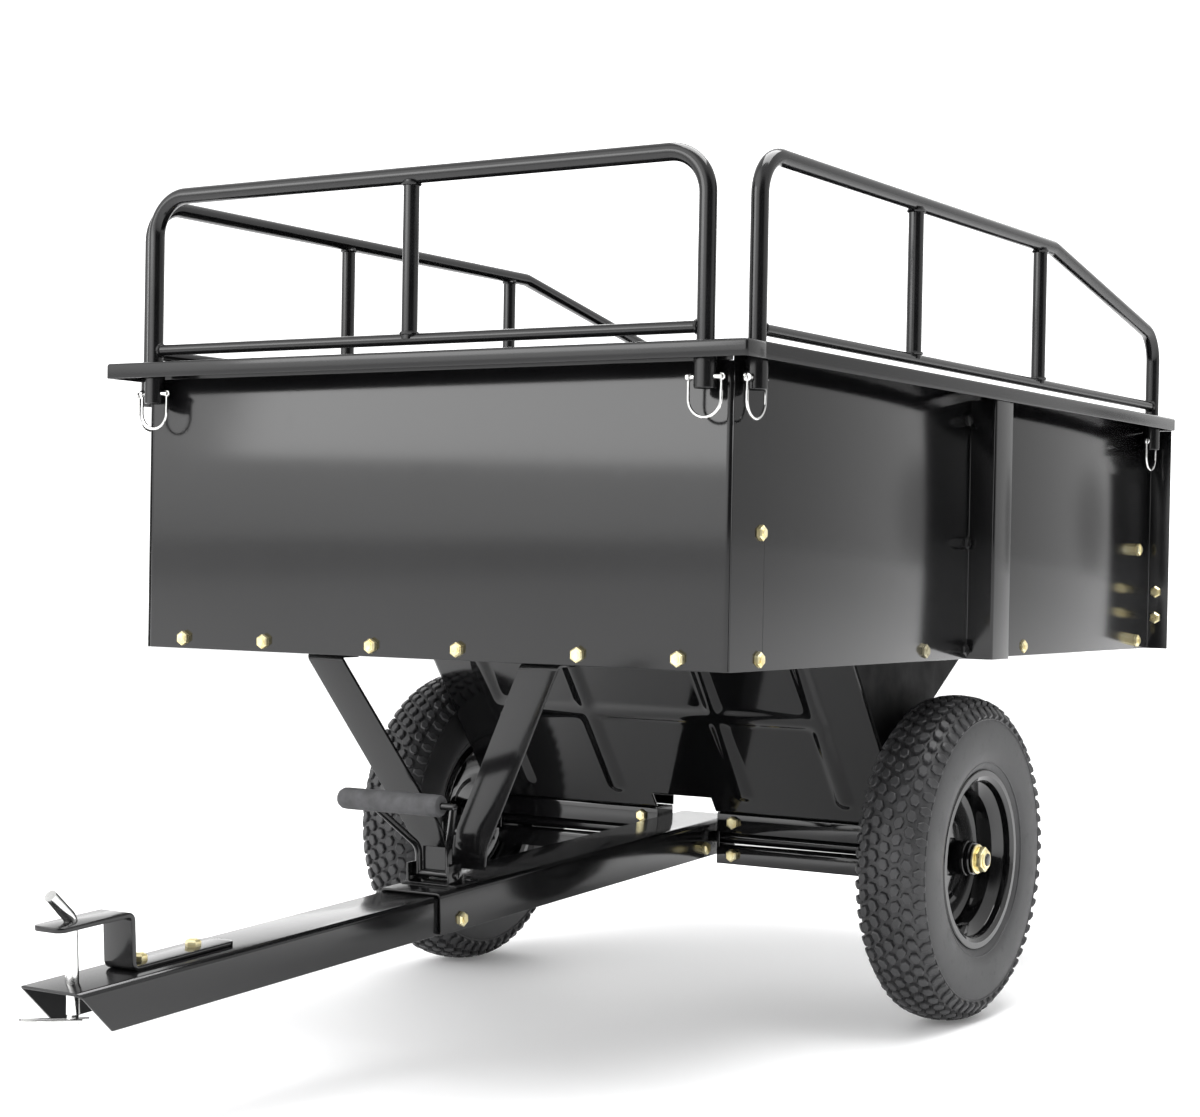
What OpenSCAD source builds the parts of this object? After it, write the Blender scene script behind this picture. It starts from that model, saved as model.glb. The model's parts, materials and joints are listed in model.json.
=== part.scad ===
// Tow behind cart: a two-wheel steel dump cart with a tilting bed,
// lift-off rails and a drawbar hitch. Millimetres, +Z up, hitch end towards -Y.

/* [Bed] */
// outside width across the side panels
bed_w = 798; // [640:2:960]
// length from the front panel to the rear edge
bed_len = 1250; // [1000:10:1500]
// height of the floor's underside above the ground
bed_z = 453; // [430:1:540]
// height of the walls, rim included
wall_h = 337; // [240:1:440]
// thickness of the bed's steel sheet
sheet = 1.5; // [1:0.05:3]
// width of the flange that wraps the front corners
wrap_w = 72; // [50:1:90]

/* [Rim] */
// how far the rim stands out from the walls
rim_out = 38; // [36:1:50]
// depth of the rim's outer lip
rim_lip = 18; // [12:1:24]

/* [Rails] */
// height of the top rail's centre above the rim
rail_h = 195; // [130:5:260]
// diameter of the bent rail tube
rail_d = 19; // [16:0.5:20]
// diameter of the lower cross bar
bar_d = 13; // [10:0.5:14]
// centre line radius of the rail bends
bend_r = 45; // [35:1:60]
// gap between a wall and the rail's centre line
rail_gap = 18; // [17:1:20]

/* [Wheels] */
// outside diameter of the tyre
tyre_d = 406; // [360:2:420]
// width of the tyre
tyre_w = 90; // [75:1:100]
// distance between the two wheel centres
track = 749; // [600:1:900]
// diameter of the axle
axle_d = 16; // [14:0.5:18]

/* [Drawbar] */
// length of the drawbar ahead of the axle
reach = 1168; // [1000:1:1300]
// outside width of the drawbar channel
bar_w = 78; // [60:1:90]
// height of the drawbar channel
bar_h = 43; // [36:1:50]
// wall of the drawbar channel
bar_t = 3; // [2.5:0.5:4]
// nose-down slope of the drawbar in degrees
slope = 3; // [0:0.5:5]
// diameter of the hitch pin
pin_d = 12.7; // [11:0.1:14]
// clear height between drawbar and hitch plate
jaw = 48; // [40:1:56]

/* [View] */
// part to draw

/* [Hidden] */
$fn = 48;
axle_z = tyre_d / 2;
half_w = bed_w / 2;
front = -bed_len / 2;
rear = bed_len / 2;
rim_z = bed_z + wall_h;
lip_z = rim_z - rim_lip;
rail_x = half_w + rail_gap;
rail_y = front - rail_gap;
top_z = rim_z + rail_h;
low_z = rim_z + 15;
foot_z = rim_z - 45;
lock_z = rim_z - 36;
front_leg = half_w - 22;
side_leg = front + 18;
back_leg = rear - 47;
kink = rear - 440;
ramp = 11.5;
ramp_len = back_leg - kink;
jaw_y = -reach + 30;
latch_y = front + 45;
deck = bar_h / 2;
sleeve_t = 0.3 + bar_t;
saddle_z = axle_z + 35;
saddle_w = 40;
saddle_in = bar_w / 2 + 7;
saddle_out = track / 2 - tyre_w / 2 - 24;
apron = track / 2 - tyre_w / 2 - 11.5;
lean = bed_len / 8;
foremost = (jaw_y - 32) * cos(slope) - (deck + jaw + 5.1) * sin(slope);
rearmost = rear + 2 * sheet + 9;
shift = -(foremost + rearmost) / 2;
clip_turn = 35;
clip_z = -12;
step = 0.01;
lap = 0.3;
slim = 0.05;
bolt_z = bed_z + 12;
floor_z = bed_z + sheet;
curb_z = bed_z + 26;

black = [0.13, 0.13, 0.14];
steel = [0.72, 0.72, 0.70];
zinc = [0.86, 0.76, 0.42];
rubber = [0.08, 0.08, 0.08];

module in_row() {
  translate([0, shift, 0]) children();
}

module at_axle() {
  translate([0, shift, axle_z]) rotate([slope, 0, 0]) children();
}

module box(x0, x1, y0, y1, z0, z1) {
  translate([x0, y0, z0]) cube([x1 - x0, y1 - y0, z1 - z0]);
}

module mirror_to(side) {
  mirror([side < 0 ? 1 : 0, 0, 0]) children();
}

// a rod along one axis, centred on the given point
module rod_x(r, x0, x1, y, z) {
  translate([x0, y, z]) rotate([0, 90, 0]) cylinder(r = r, h = x1 - x0);
}

module rod_y(r, x, y0, y1, z) {
  translate([x, y0, z]) rotate([-90, 0, 0]) cylinder(r = r, h = y1 - y0);
}

module rod_z(r, x, y, z0, z1) {
  translate([x, y, z0]) cylinder(r = r, h = z1 - z0);
}

// a hexagon screw pointing along +Z, its head below the origin, nut above
module screw(grip_len, head = 6, across = 14, d = 8) {
  translate([0, 0, -head]) cylinder(d = across * 1.1547, h = head, $fn = 6);
  cylinder(d = d, h = grip_len + 9);
  translate([0, 0, grip_len]) cylinder(d = across * 1.1547, h = 6, $fn = 6);
}

// ---------- bed ----------

function front_bolts_x() = [half_w * 0.15, half_w * 0.545, half_w * 0.855];
function side_bolts_y() = [front + 61, -151, 151, rear - 50];

module bolt_holes_front(d) {
  for (x = front_bolts_x())
    for (s = [-1, 1])
      rod_y(d / 2, s * x, front - 5, front + 12, bolt_z);
}

module bolt_holes_side(d) {
  for (y = side_bolts_y())
    for (s = [-1, 1])
      rod_x(d / 2, s > 0 ? half_w - 12 : -half_w - 12, s > 0 ? half_w + 12 : -half_w + 12, y, bolt_z);
  for (s = [-1, 1])
    rod_x(d / 2, s * half_w - 12, s * half_w + 12, front + 61, bolt_z + 132);
  for (s = [-1, 1])
    for (z = [bolt_z, bolt_z + 131, bolt_z + 283])
      rod_x(d / 2, s * half_w - 12, s * half_w + 12, -41, z);
  for (s = [-1, 1])
    rod_x(d / 2, s * half_w - 12, s * half_w + 12, rear - 50, bolt_z + 132);
}

module floor_half(y0, y1, wall) {
  in = half_w - sheet - 0.1;
  difference() {
    union() {
      box(-in, in, y0, y1, bed_z, floor_z);
      for (s = [-1, 1])
        mirror_to(s) box(in - sheet, in, y0, y1 - (wall > 0 ? 0 : 32), floor_z - step, curb_z);
      if (wall > 0) box(-in, in, y0, y0 + sheet, floor_z - step, curb_z);
    }
    bolt_holes_front(8.6);
    bolt_holes_side(8.6);
  }
}

module floor_front() {
  color(black) in_row() floor_half(front + sheet + 0.1, -1, 1);
}

module floor_rear() {
  color(black) in_row() floor_half(1, rear, 0);
}

module floor_seam() {
  in = half_w - 2 * sheet - 2;
  color(black) in_row() {
    box(-in, in, -28, 28, floor_z, floor_z + sheet);
  }
}

module front_panel() {
  color(black) in_row() difference() {
    union() {
      box(-half_w - sheet, half_w + sheet, front, front + sheet, bed_z, lip_z);
      box(-half_w + step, half_w - step, front, front + sheet, lip_z - step, rim_z - sheet);
      for (s = [-1, 1])
        mirror_to(s) box(half_w, half_w + sheet, front, front + wrap_w, bed_z, lip_z);
    }
    bolt_holes_front(8.6);
    bolt_holes_side(8.6);
  }
}

module side_panel(y0, y1) {
  difference() {
    box(half_w - sheet, half_w, y0, y1, bed_z, rim_z - sheet);
    bolt_holes_side(8.6);
  }
}

module side_front(s) {
  color(black) in_row() mirror_to(s) side_panel(front + sheet + 0.1, -0.5);
}

module side_rear(s) {
  color(black) in_row() mirror_to(s) side_panel(0.5, rear - 0.1);
}

// hat section that stiffens the side and carries the rim
module mid_post(s) {
  out = half_w + rim_out;
  z1 = lip_z - 0.2;
  color(black) in_row() mirror_to(s) difference() {
    union() {
      box(half_w, half_w + sheet, -92, -28, bed_z, z1);
      box(half_w, half_w + sheet, 24, 88, bed_z, z1);
      box(half_w + sheet - step, out, -30, -28, bed_z, z1);
      box(half_w + sheet - step, out, 22, 24, bed_z, z1);
      box(out - sheet, out, -30, 24, bed_z, z1);
    }
    bolt_holes_side(8.6);
  }
}

// rear corner post: flange, rear wall and the guide for the tailgate
module rear_post(s) {
  in = half_w - sheet - 0.1;
  z1 = lip_z - 0.2;
  color(black) in_row() mirror_to(s) difference() {
    union() {
      box(half_w, half_w + sheet, rear - 105, rear + sheet, bed_z, z1);
      box(in - 24, half_w + rim_out - 12, rear, rear + sheet, bed_z, z1);
      box(half_w + 8, half_w + rim_out - 6, rear + sheet, rear + 2 * sheet, bed_z, bed_z + 98);
    }
    bolt_holes_side(8.6);
    for (z = [bolt_z + 33, bolt_z + 71])
      rod_y(4.3, half_w + 14, rear - 10, rear + 10, z);
  }
}

module leg_holes(d) {
  for (s = [-1, 1]) {
    rod_z(d / 2, s * front_leg, rail_y, rim_z - 60, rim_z + 10);
    rod_z(d / 2, s * rail_x, side_leg, rim_z - 60, rim_z + 10);
    rod_z(d / 2, s * rail_x, back_leg, rim_z - 60, rim_z + 10);
  }
}

module rim_front() {
  out = half_w + rim_out;
  y0 = front - rim_out;
  color(black) in_row() difference() {
    union() {
      box(-out, out, y0, front + sheet, rim_z - sheet, rim_z);
      box(-out, out, y0, y0 + sheet, lip_z, rim_z - sheet + step);
      for (s = [-1, 1])
        mirror_to(s) box(out - sheet, out, y0, front + sheet, lip_z, rim_z - sheet + step);
    }
    leg_holes(rail_d + 1);
  }
}

module rim_side(s) {
  out = half_w + rim_out;
  color(black) in_row() mirror_to(s) difference() {
    union() {
      box(half_w - sheet, out, front + sheet + 0.1, rear, rim_z - sheet, rim_z);
      box(out - sheet, out, front + sheet + 0.1, rear, lip_z, rim_z - sheet + step);
      box(half_w + 2, out, rear - sheet, rear, lip_z, rim_z - sheet + step);
    }
    leg_holes(rail_d + 1);
  }
}

module socket(x, y, turn) {
  translate([x, y, 0]) rotate([0, 0, turn]) difference() {
    rod_z(rail_d / 2 + 2.4, 0, 0, foot_z - 3, rim_z - sheet);
    rod_z(rail_d / 2 + 0.4, 0, 0, foot_z - 4, rim_z);
    rod_x(3.3, -20, 20, 0, lock_z);
  }
}

module rail_sockets() {
  color(black) in_row() for (s = [-1, 1]) {
    socket(s * front_leg, rail_y, 0);
    socket(s * rail_x, side_leg, 90);
    socket(s * rail_x, back_leg, 90);
  }
}

// ---------- rails ----------

// a bent rod: a straight run along +X, then whatever follows it
module run(r, length) {
  rotate([0, 90, 0]) translate([0, 0, -lap]) cylinder(r = r, h = length + 2 * lap);
  translate([length, 0, 0]) children();
}

// a bend from +X towards -Z, then whatever follows it
module turn(r, radius, angle) {
  rotate([90, 0, 0]) translate([0, -radius, 0]) rotate([0, 0, 90 - angle])
    rotate_extrude(angle = angle) translate([radius, 0]) circle(r = r - slim);
  translate([radius * sin(angle), 0, radius * cos(angle) - radius]) rotate([0, angle, 0]) children();
}

// starts a bent rod upwards, its first bend going towards +X
module upward() {
  rotate([0, -90, 0]) children();
}

module hoop_front() {
  r = rail_d / 2;
  leg = top_z - bend_r - foot_z;
  color(black) in_row() difference() {
    translate([-front_leg, rail_y, foot_z]) upward()
      run(r, leg) turn(r, bend_r, 90) run(r, 2 * front_leg - 2 * bend_r)
      turn(r, bend_r, 90) run(r, leg);
    for (s = [-1, 1])
      rod_x(3.05, s * front_leg - 30, s * front_leg + 30, rail_y, lock_z);
  }
}

module hoop_side(s) {
  r = rail_d / 2;
  soft = 90;
  tight = bend_r * tan((90 - ramp) / 2);
  ease = soft * tan(ramp / 2);
  fall = ramp_len * tan(ramp);
  color(black) in_row() mirror_to(s) difference() {
    translate([rail_x, side_leg, foot_z]) rotate([0, 0, 90]) upward()
      run(r, top_z - bend_r - foot_z) turn(r, bend_r, 90)
      run(r, kink - side_leg - bend_r - ease) turn(r, soft, ramp)
      run(r, ramp_len / cos(ramp) - ease - tight) turn(r, bend_r, 90 - ramp)
      run(r, top_z - fall - tight - foot_z);
    for (y = [side_leg, back_leg])
      rod_y(3.05, rail_x, y - 30, y + 30, lock_z);
  }
}

module bars_front() {
  r = bar_d / 2;
  color(black) in_row() difference() {
    union() {
      rod_x(r, -front_leg, front_leg, rail_y, low_z);
      rod_z(rail_d / 2 - 0.5, 0, rail_y, low_z, top_z);
    }
    for (s = [-1, 1])
      rod_z(rail_d / 2 + 0.05, s * front_leg, rail_y, low_z - 30, low_z + 30);
    rod_x(rail_d / 2 + 0.05, -40, 40, rail_y, top_z);
  }
}

module bars_side(s) {
  r = bar_d / 2;
  color(black) in_row() mirror_to(s) translate([rail_x, 0, 0]) difference() {
    union() {
      rod_y(r, 0, side_leg, back_leg, low_z);
      for (y = [side_leg + 373, kink - 42])
        rod_z(rail_d / 2 - 0.5, 0, y, low_z, top_z);
    }
    for (y = [side_leg, back_leg])
      rod_z(rail_d / 2 + 0.05, 0, y, low_z - 30, low_z + 30);
    rod_y(rail_d / 2 + 0.05, 0, side_leg + 300, kink + 30, top_z);
  }
}

// lock pin along +X through a leg, its wire bail hanging below
module lock_pin() {
  r = 1.6;
  drop = 22;
  color(steel) {
    difference() {
      union() {
        rod_x(3, -17.6, 21, 0, 0);
        rod_x(4.6, -21, -17.6, 0, 0);
      }
      rod_x(1.6, 18, 22, 0, 0);
    }
    rod_z(r, -19.3, 0, -drop, 1);
    rod_z(r, 19.3, 0, -drop, 0);
    translate([0, 0, -drop]) rotate([90, 0, 0]) rotate([0, 0, 180])
      rotate_extrude(angle = 180) translate([19.3, 0]) circle(r = r);
  }
}

module lock(x, y, turn) {
  in_row() translate([x, y, lock_z]) rotate([0, 0, turn]) lock_pin();
}

// ---------- pedestal ----------

module rib(x, z0, z1, w, h) {
  translate([x - w / 2, -h, z0]) cube([w, h + step, z1 - z0]);
}

module pedestal_front() {
  rise = bed_z - saddle_z;
  tilt = atan(lean / rise);
  slant = sqrt(lean * lean + rise * rise);
  x0 = apron;
  y1 = -saddle_w / 2 - lean;
  color(black) in_row() difference() {
    union() {
      pressed_front(x0, slant, tilt);
      box(-x0, x0, y1 - 24, y1 + 6, bed_z - sheet, bed_z);
    }
    box(-x0 - 1, x0 + 1, y1 - 40, y1 + 40, bed_z, bed_z + 20);
  }
}

module pressed_front(x0, slant, tilt) {
    translate([0, -saddle_w / 2, saddle_z]) rotate([tilt, 0, 0]) difference() {
      union() {
        box(-x0, x0, 0, sheet, 3, slant);
        for (x = [x0 * 0.305, x0 * 0.765])
          for (s = [-1, 1])
            rib(s * x, slant * 0.14, slant - 2, 14, 4);
        rib(0, slant * 0.62 - 7, slant * 0.62 + 7, x0 * 1.53, 4);
      }
      box(-saddle_in, saddle_in, -9, 9, 0, 26);
    }
}

module pedestal_rear() {
  y = saddle_w / 2;
  x0 = apron;
  color(black) in_row() difference() {
    union() {
      box(-x0, x0, y - sheet, y, saddle_z, bed_z);
      box(-x0, x0, y, y + 24, bed_z - sheet, bed_z);
    }
    box(-saddle_in, saddle_in, y - 9, y + 9, saddle_z - 1, saddle_z + 26);
  }
}

module gusset(s) {
  rise = bed_z - saddle_z;
  y = saddle_w / 2;
  g = lean / rise;
  color(black) in_row() mirror_to(s) translate([apron + 0.2, 0, 0])
    rotate([90, 0, 90]) linear_extrude(height = 2)
      polygon([[-y, saddle_z], [y + 2, saddle_z], [y + 2, saddle_z + 132],
        [y + 36, bed_z - 54], [y + 122, bed_z], [-y - lean, bed_z]]);
}

// axle saddle: two channels above and below the axle, joined by bored ends
module saddle(s) {
  w = saddle_w / 2;
  top = saddle_z;
  low = axle_z - 8.5;
  foot = axle_z - 33;
  t = 3;
  color(black) in_row() mirror_to(s) difference() {
    union() {
      difference() {
        box(saddle_in, saddle_out, -w, w, axle_z + 8.5, top);
        box(saddle_in + 4, saddle_out - 4, -w + t, w - t, axle_z + 5, top - t);
      }
      difference() {
        box(saddle_in, saddle_out, -w, w, foot, low);
        box(saddle_in + 4, saddle_out - 4, -w + t, w - t, foot - 1, low - t);
      }
      box(saddle_in, saddle_in + 4, -w, w, foot, top);
      box(saddle_out - 4, saddle_out, -w, w, foot, top);
    }
    rod_x(axle_d / 2 + 0.05, saddle_in - 5, saddle_out + 5, 0, axle_z);
    for (z = [axle_z - 21, axle_z + 22])
      rod_y(4.3, saddle_in + 24, -w - 5, -w + 6, z);
  }
}

module saddle_bolts() {
  w = saddle_w / 2;
  color(zinc) in_row() for (s = [-1, 1])
    for (z = [axle_z - 21, axle_z + 22])
      translate([s * (saddle_in + 24), -w, z]) rotate([-90, 0, 0]) screw(3);
}

// ---------- brace ----------

module brace(s) {
  x0 = 22;
  z0 = axle_z + 31;
  y0 = front + 77;
  x1 = bed_w * 0.19;
  y1 = front + 27;
  z1 = bed_z - 0.2;
  dx = x1 - x0;
  dy = y1 - y0;
  dz = z1 - z0;
  len = sqrt(dx * dx + dy * dy + dz * dz);
  swing = asin(dx / len);
  back = atan2(-dy, dz);
  color(black) in_row() mirror_to(s) difference() {
    union() {
      translate([x0, y0, z0]) rotate([back, 0, 0]) rotate([0, swing, 0])
        box(-22, 22, -2, 2, -26, len + 20);
      box(x1 - 30, x1 + 30, y1 - 6, y1 + 34, bed_z - 4, bed_z);
    }
    box(-50, x1 + 90, y1 - 60, y1 + 80, bed_z, bed_z + 80);
    box(-50, x1 + 60, y0 - 60, y0 + 60, z0 - 90, z0 - 4);
    box(-60, 0.3, y0 - 60, y0 + 60, z0 - 90, z0 + 90);
  }
}

module brace_foot() {
  y = front + 80;
  color(black) in_row() {
    box(-42, 42, y, y + 4, axle_z + 10, axle_z + 47);
    box(-42, 42, y + 4 - step, y + 22, axle_z + 43, axle_z + 47);
  }
}

module front_bolts() {
  color(zinc) in_row()
    for (x = front_bolts_x())
      for (s = [-1, 1])
        translate([s * x, front, bolt_z]) rotate([-90, 0, 0]) screw(2 * sheet + 0.3);
}

module side_screw(y, z, skin) {
  curb = z < curb_z ? sheet : 0;
  translate([half_w + skin, y, z]) rotate([0, -90, 0]) screw(skin + sheet + curb + 0.2);
}

module side_bolts() {
  color(zinc) in_row() for (s = [-1, 1]) mirror_to(s) {
    side_screw(front + 61, bolt_z, sheet);
    side_screw(front + 61, bolt_z + 132, sheet);
    side_screw(-151, bolt_z, 0);
    side_screw(151, bolt_z, 0);
    side_screw(rear - 50, bolt_z, sheet);
    side_screw(rear - 50, bolt_z + 132, sheet);
    for (z = [bolt_z, bolt_z + 131, bolt_z + 283])
      side_screw(-41, z, sheet);
    for (z = [bolt_z + 33, bolt_z + 71])
      translate([half_w + 14, rear, z]) rotate([-90, 0, 0]) screw(2 * sheet);
  }
}

// lift-out tailgate: a folded pan standing in the rear guides
module tailgate() {
  x0 = half_w - sheet - 5;
  y1 = rear - 0.5;
  z0 = floor_z + 0.5;
  z1 = rim_z - 4;
  color(black) in_row() difference() {
    box(-x0, x0, y1 - 20, y1, z0, z1);
    box(-x0 + 2, x0 - 2, y1 - 22, y1 - 2, z0 + 2, z1 - 2);
    box(-70, 70, y1 - 5, y1 + 5, z1 - 62, z1 - 32);
  }
}

// ---------- drawbar ----------

module channel_2d(w, h, t, r) {
  difference() {
    union() {
      translate([-w / 2, 0]) square([w, h - r]);
      translate([-w / 2 + r, 0]) square([w - 2 * r, h]);
      for (s = [-1, 1])
        translate([s * (w / 2 - r), h - r]) circle(r = r);
    }
    translate([-w / 2 + t, -1]) square([w - 2 * t, h - t + 1]);
  }
}

module drawbar() {
  color(black) at_axle() difference() {
    translate([0, latch_y + 40, -deck]) rotate([90, 0, 0])
      linear_extrude(height = reach + latch_y + 40) channel_2d(bar_w, bar_h, bar_t, 6);
    translate([0, -reach, deck]) rotate([44, 0, 0]) translate([-100, -80, -100]) cube([200, 80, 160]);
    rod_z(pin_d / 2 + 1.55, 0, jaw_y, -50, 50);
    for (y = [jaw_y + 88, jaw_y + 163])
      rod_z(4.3, 0, y, 0, 50);
    rod_x(4.3, -60, 60, latch_y - 8, -9);
    for (x = [-31, 31])
      rod_z(4.3, x, latch_y + 22, 0, 50);
  }
}

module drawbar_sleeve() {
  w = bar_w + 2 * sleeve_t;
  color(black) at_axle() difference() {
    translate([0, 34, -deck]) rotate([90, 0, 0])
      linear_extrude(height = 34 - front) channel_2d(w, bar_h + sleeve_t, bar_t, 7);
    rod_x(axle_d / 2, -60, 60, 0, 0);
    rod_x(4.3, -60, 60, latch_y - 8, -9);
    rod_x(4.3, -60, 60, -46, -9);
    for (x = [-31, 31])
      rod_z(4.3, x, latch_y + 22, 0, 50);
  }
}

module strap_2d(run, rise, foot, t) {
  square([foot, t]);
  square([t, rise]);
  translate([-run, rise - t]) square([run + t, t]);
}

// offset strap above the drawbar that carries the top of the hitch pin
module hitch_strap() {
  y = jaw_y + 60;
  color(black) at_axle() difference() {
    translate([-19, y, deck + 0.1]) rotate([90, 0, 90])
      linear_extrude(height = 38) strap_2d(92, jaw + 5, 145, 5);
    rod_z(pin_d / 2 + 1.55, 0, jaw_y, 0, 120);
    for (b = [jaw_y + 88, jaw_y + 163])
      rod_z(4.3, 0, b, 0, 50);
  }
}

module drawbar_bolts() {
  color(zinc) at_axle() {
    for (y = [jaw_y + 88, jaw_y + 163])
      translate([0, y, deck + 5.1]) rotate([180, 0, 0]) screw(5.1 + bar_t);
    translate([bar_w / 2 + sleeve_t, latch_y - 8, -9]) rotate([0, -90, 0]) screw(bar_w + 2 * sleeve_t);
    translate([bar_w / 2 + sleeve_t, -46, -9]) rotate([0, -90, 0]) screw(bar_w + 2 * sleeve_t);
  }
}

module axle() {
  end = track / 2 + 49;
  color(steel) in_row() {
    rod_x(axle_d / 2, -end, end, 0, axle_z);
    for (s = [-1, 1])
      mirror_to(s) difference() {
        rod_x(13, saddle_out + 2, saddle_out + 8, 0, axle_z);
        rod_x(axle_d / 2 - 0.5, saddle_out, saddle_out + 10, 0, axle_z);
      }
  }
}

module axle_nuts() {
  x = track / 2 + 33;
  color(zinc) in_row() for (s = [-1, 1]) mirror_to(s) difference() {
    union() {
      rod_x(18.5, x, x + 2.5, 0, axle_z);
      translate([x + 2.4, 0, axle_z]) rotate([0, 90, 0]) cylinder(d = 27.7, h = 12, $fn = 6);
    }
    rod_x(axle_d / 2, x - 5, x + 30, 0, axle_z);
  }
}

// ---------- latch ----------

module latch_stand() {
  z = deck + sleeve_t + 0.1;
  y = latch_y;
  color(black) at_axle() difference() {
    union() {
      box(-38, 38, y - 12, y + 34, z, z + 3);
      for (s = [-1, 1])
        mirror_to(s) box(27, 30, y - 12, y + 12, z, z + 24);
      for (x = [-34, 34])
        rod_z(5.5, x * 31 / 34, y + 22, z + 2.9, z + 7);
      for (x = [-31, 31])
        rod_z(4, x, y + 22, z - 12, z + 1);
    }
    rod_x(4.1, -40, 40, y, z + 12);
  }
}

module latch_handle() {
  z = deck + sleeve_t + 12.1;
  r = 4;
  color(black) at_axle() translate([0, latch_y, z]) {
    rod_x(r, -34, 34, 0, 0);
    for (x = [-21, 21]) {
      rod_z(r + 0.6, x, 0, 0, 26);
      translate([x, 0, 26]) sphere(r = r + 0.9);
    }
    handle_arm(21, 80, r + 0.6);
    handle_arm(-21, -38, r + 0.6);
    translate([80, -69, 90]) sphere(r = r + 0.9);
    rod_x(r, -70, 80, -69, 90);
    box(-17, 17, 3, 6, -3, 30);
  }
}

// slanting part of one of the handle's arms
module handle_arm(x0, x1, r) {
  dx = x1 - x0;
  dy = -69;
  dz = 64;
  len = sqrt(dx * dx + dy * dy + dz * dz);
  translate([x0, 0, 26]) rotate([0, acos(dz / len), atan2(dy, dx)]) cylinder(r = r, h = len);
}

// rubber grip, closed at the far end and holed for one arm
module latch_grip() {
  z = deck + sleeve_t + 12.1;
  color(rubber) at_axle() translate([0, latch_y, z]) difference() {
    rod_x(12.3, -76, 64, -69, 90);
    rod_x(4.05, -71, 90, -69, 90);
    handle_arm(-21, -38, 4.75);
  }
}

// ---------- hitch pin ----------

module hitch_pin() {
  r = pin_d / 2;
  z1 = deck + 5.1 + jaw;
  color(steel) at_axle() translate([0, jaw_y, 0]) difference() {
    union() {
      rod_z(r, 0, 0, clip_z + 5, z1 + 3 + lap);
      rod_z(r - 0.7, 0, 0, clip_z - 6, clip_z + 5.1);
      rod_z(r + 3, 0, 0, z1 + 0.1, z1 + 3);
      translate([0, 0, z1 + 3]) rotate([0, 0, -90]) upward() turn(r, 12, 45) run(r, 30);
    }
    rotate([0, 0, clip_turn]) rod_x(1.8, -20, 20, 0, clip_z);
  }
}

module hitch_clip() {
  r = 1.5;
  gap = pin_d / 2 + 1.4;
  color(steel) at_axle() translate([0, jaw_y, clip_z]) rotate([0, 0, clip_turn]) {
    rod_x(r, -46, 15, 0, 0);
    rod_x(r, -46, 10, -gap, 0);
    translate([-46, -gap / 2, 0]) rotate([0, 0, 90])
      rotate_extrude(angle = 180) translate([gap / 2, 0]) circle(r = r);
  }
}

// ---------- wheels ----------

module tyre(s) {
  r = tyre_d / 2;
  b = r * 0.53;
  h = tyre_w / 2;
  k = r - b;
  w = h * 0.88 - 3.1;
  color(rubber) in_row() mirror_to(s) translate([track / 2, 0, axle_z]) rotate([0, 90, 0])
    rotate_extrude() polygon([
      [b - 4.9, -w], [b + 4, -w], [b + k * 0.16, -h * 0.97], [b + k * 0.45, -h],
      [b + k * 0.75, -h * 0.96], [b + k * 0.9, -h * 0.84], [b + k * 0.98, -h * 0.5], [r, 0],
      [b + k * 0.98, h * 0.5], [b + k * 0.9, h * 0.84], [b + k * 0.75, h * 0.96],
      [b + k * 0.45, h], [b + k * 0.16, h * 0.97], [b + 4, w], [b - 4.9, w],
      [b - 4.9, w - 8], [b + 6, w - 8], [b + k * 0.45, h - 7], [b + k * 0.75, h * 0.8],
      [b + k * 0.86, h * 0.5], [b + k * 0.88, 0], [b + k * 0.86, -h * 0.5],
      [b + k * 0.75, -h * 0.8], [b + k * 0.45, 7 - h], [b + 6, 8 - w], [b - 4.9, 8 - w]]);
}

module rim_wheel(s) {
  r = tyre_d / 2 * 0.53;
  f = tyre_w / 2 * 0.88;
  color(black) in_row() mirror_to(s) translate([track / 2, 0, axle_z]) rotate([0, 90, 0]) {
    rotate_extrude() polygon([
      [r + 3, 2.5 - f], [r - 5, 2.5 - f], [r - 5, -24], [r - 17, -17], [r - 17, 17], [r - 5, 24],
      [r - 5, f - 2.5], [r + 3, f - 2.5], [r + 3, f], [r - 8, f], [r - 8, 25.5], [r - 20, 18.5],
      [r - 20, -18.5], [r - 8, -25.5], [r - 8, -f], [r + 3, -f]]);
    rotate_extrude() polygon([
      [21.2, -5], [44, -5], [56, -13], [r - 30, -13], [r - 19.5, -9], [r - 19.5, -5.5],
      [r - 30, -9.5], [57.5, -9.5], [45, -1.5], [21.2, -1.5]]);
  }
}

module hub(s) {
  color(black) in_row() mirror_to(s) difference() {
    union() {
      rod_x(21, saddle_out + 12, track / 2 + 31, 0, axle_z);
      rod_x(15, saddle_out + 10, track / 2 + 32.5, 0, axle_z);
    }
    rod_x(axle_d / 2 + 0.05, saddle_out, track / 2 + 60, 0, axle_z);
  }
}

floor_front();
floor_rear();
floor_seam();
front_panel();
side_front(1);  // side_front_left
side_front(-1);  // side_front_right
side_rear(1);  // side_rear_left
side_rear(-1);  // side_rear_right
mid_post(1);  // mid_post_left
mid_post(-1);  // mid_post_right
rear_post(1);  // rear_post_left
rear_post(-1);  // rear_post_right
rim_front();
rim_side(1);  // rim_left
rim_side(-1);  // rim_right
rail_sockets();
hoop_front();
hoop_side(1);  // hoop_left
hoop_side(-1);  // hoop_right
bars_front();
bars_side(1);  // bars_left
bars_side(-1);  // bars_right
pedestal_front();
pedestal_rear();
gusset(1);  // gusset_left
gusset(-1);  // gusset_right
saddle(1);  // saddle_left
saddle(-1);  // saddle_right
brace(1);  // brace_left
brace(-1);  // brace_right
brace_foot();
front_bolts();
side_bolts();
saddle_bolts();
tailgate();
drawbar();
drawbar_sleeve();
hitch_strap();
drawbar_bolts();
axle();
axle_nuts();
latch_stand();
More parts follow.
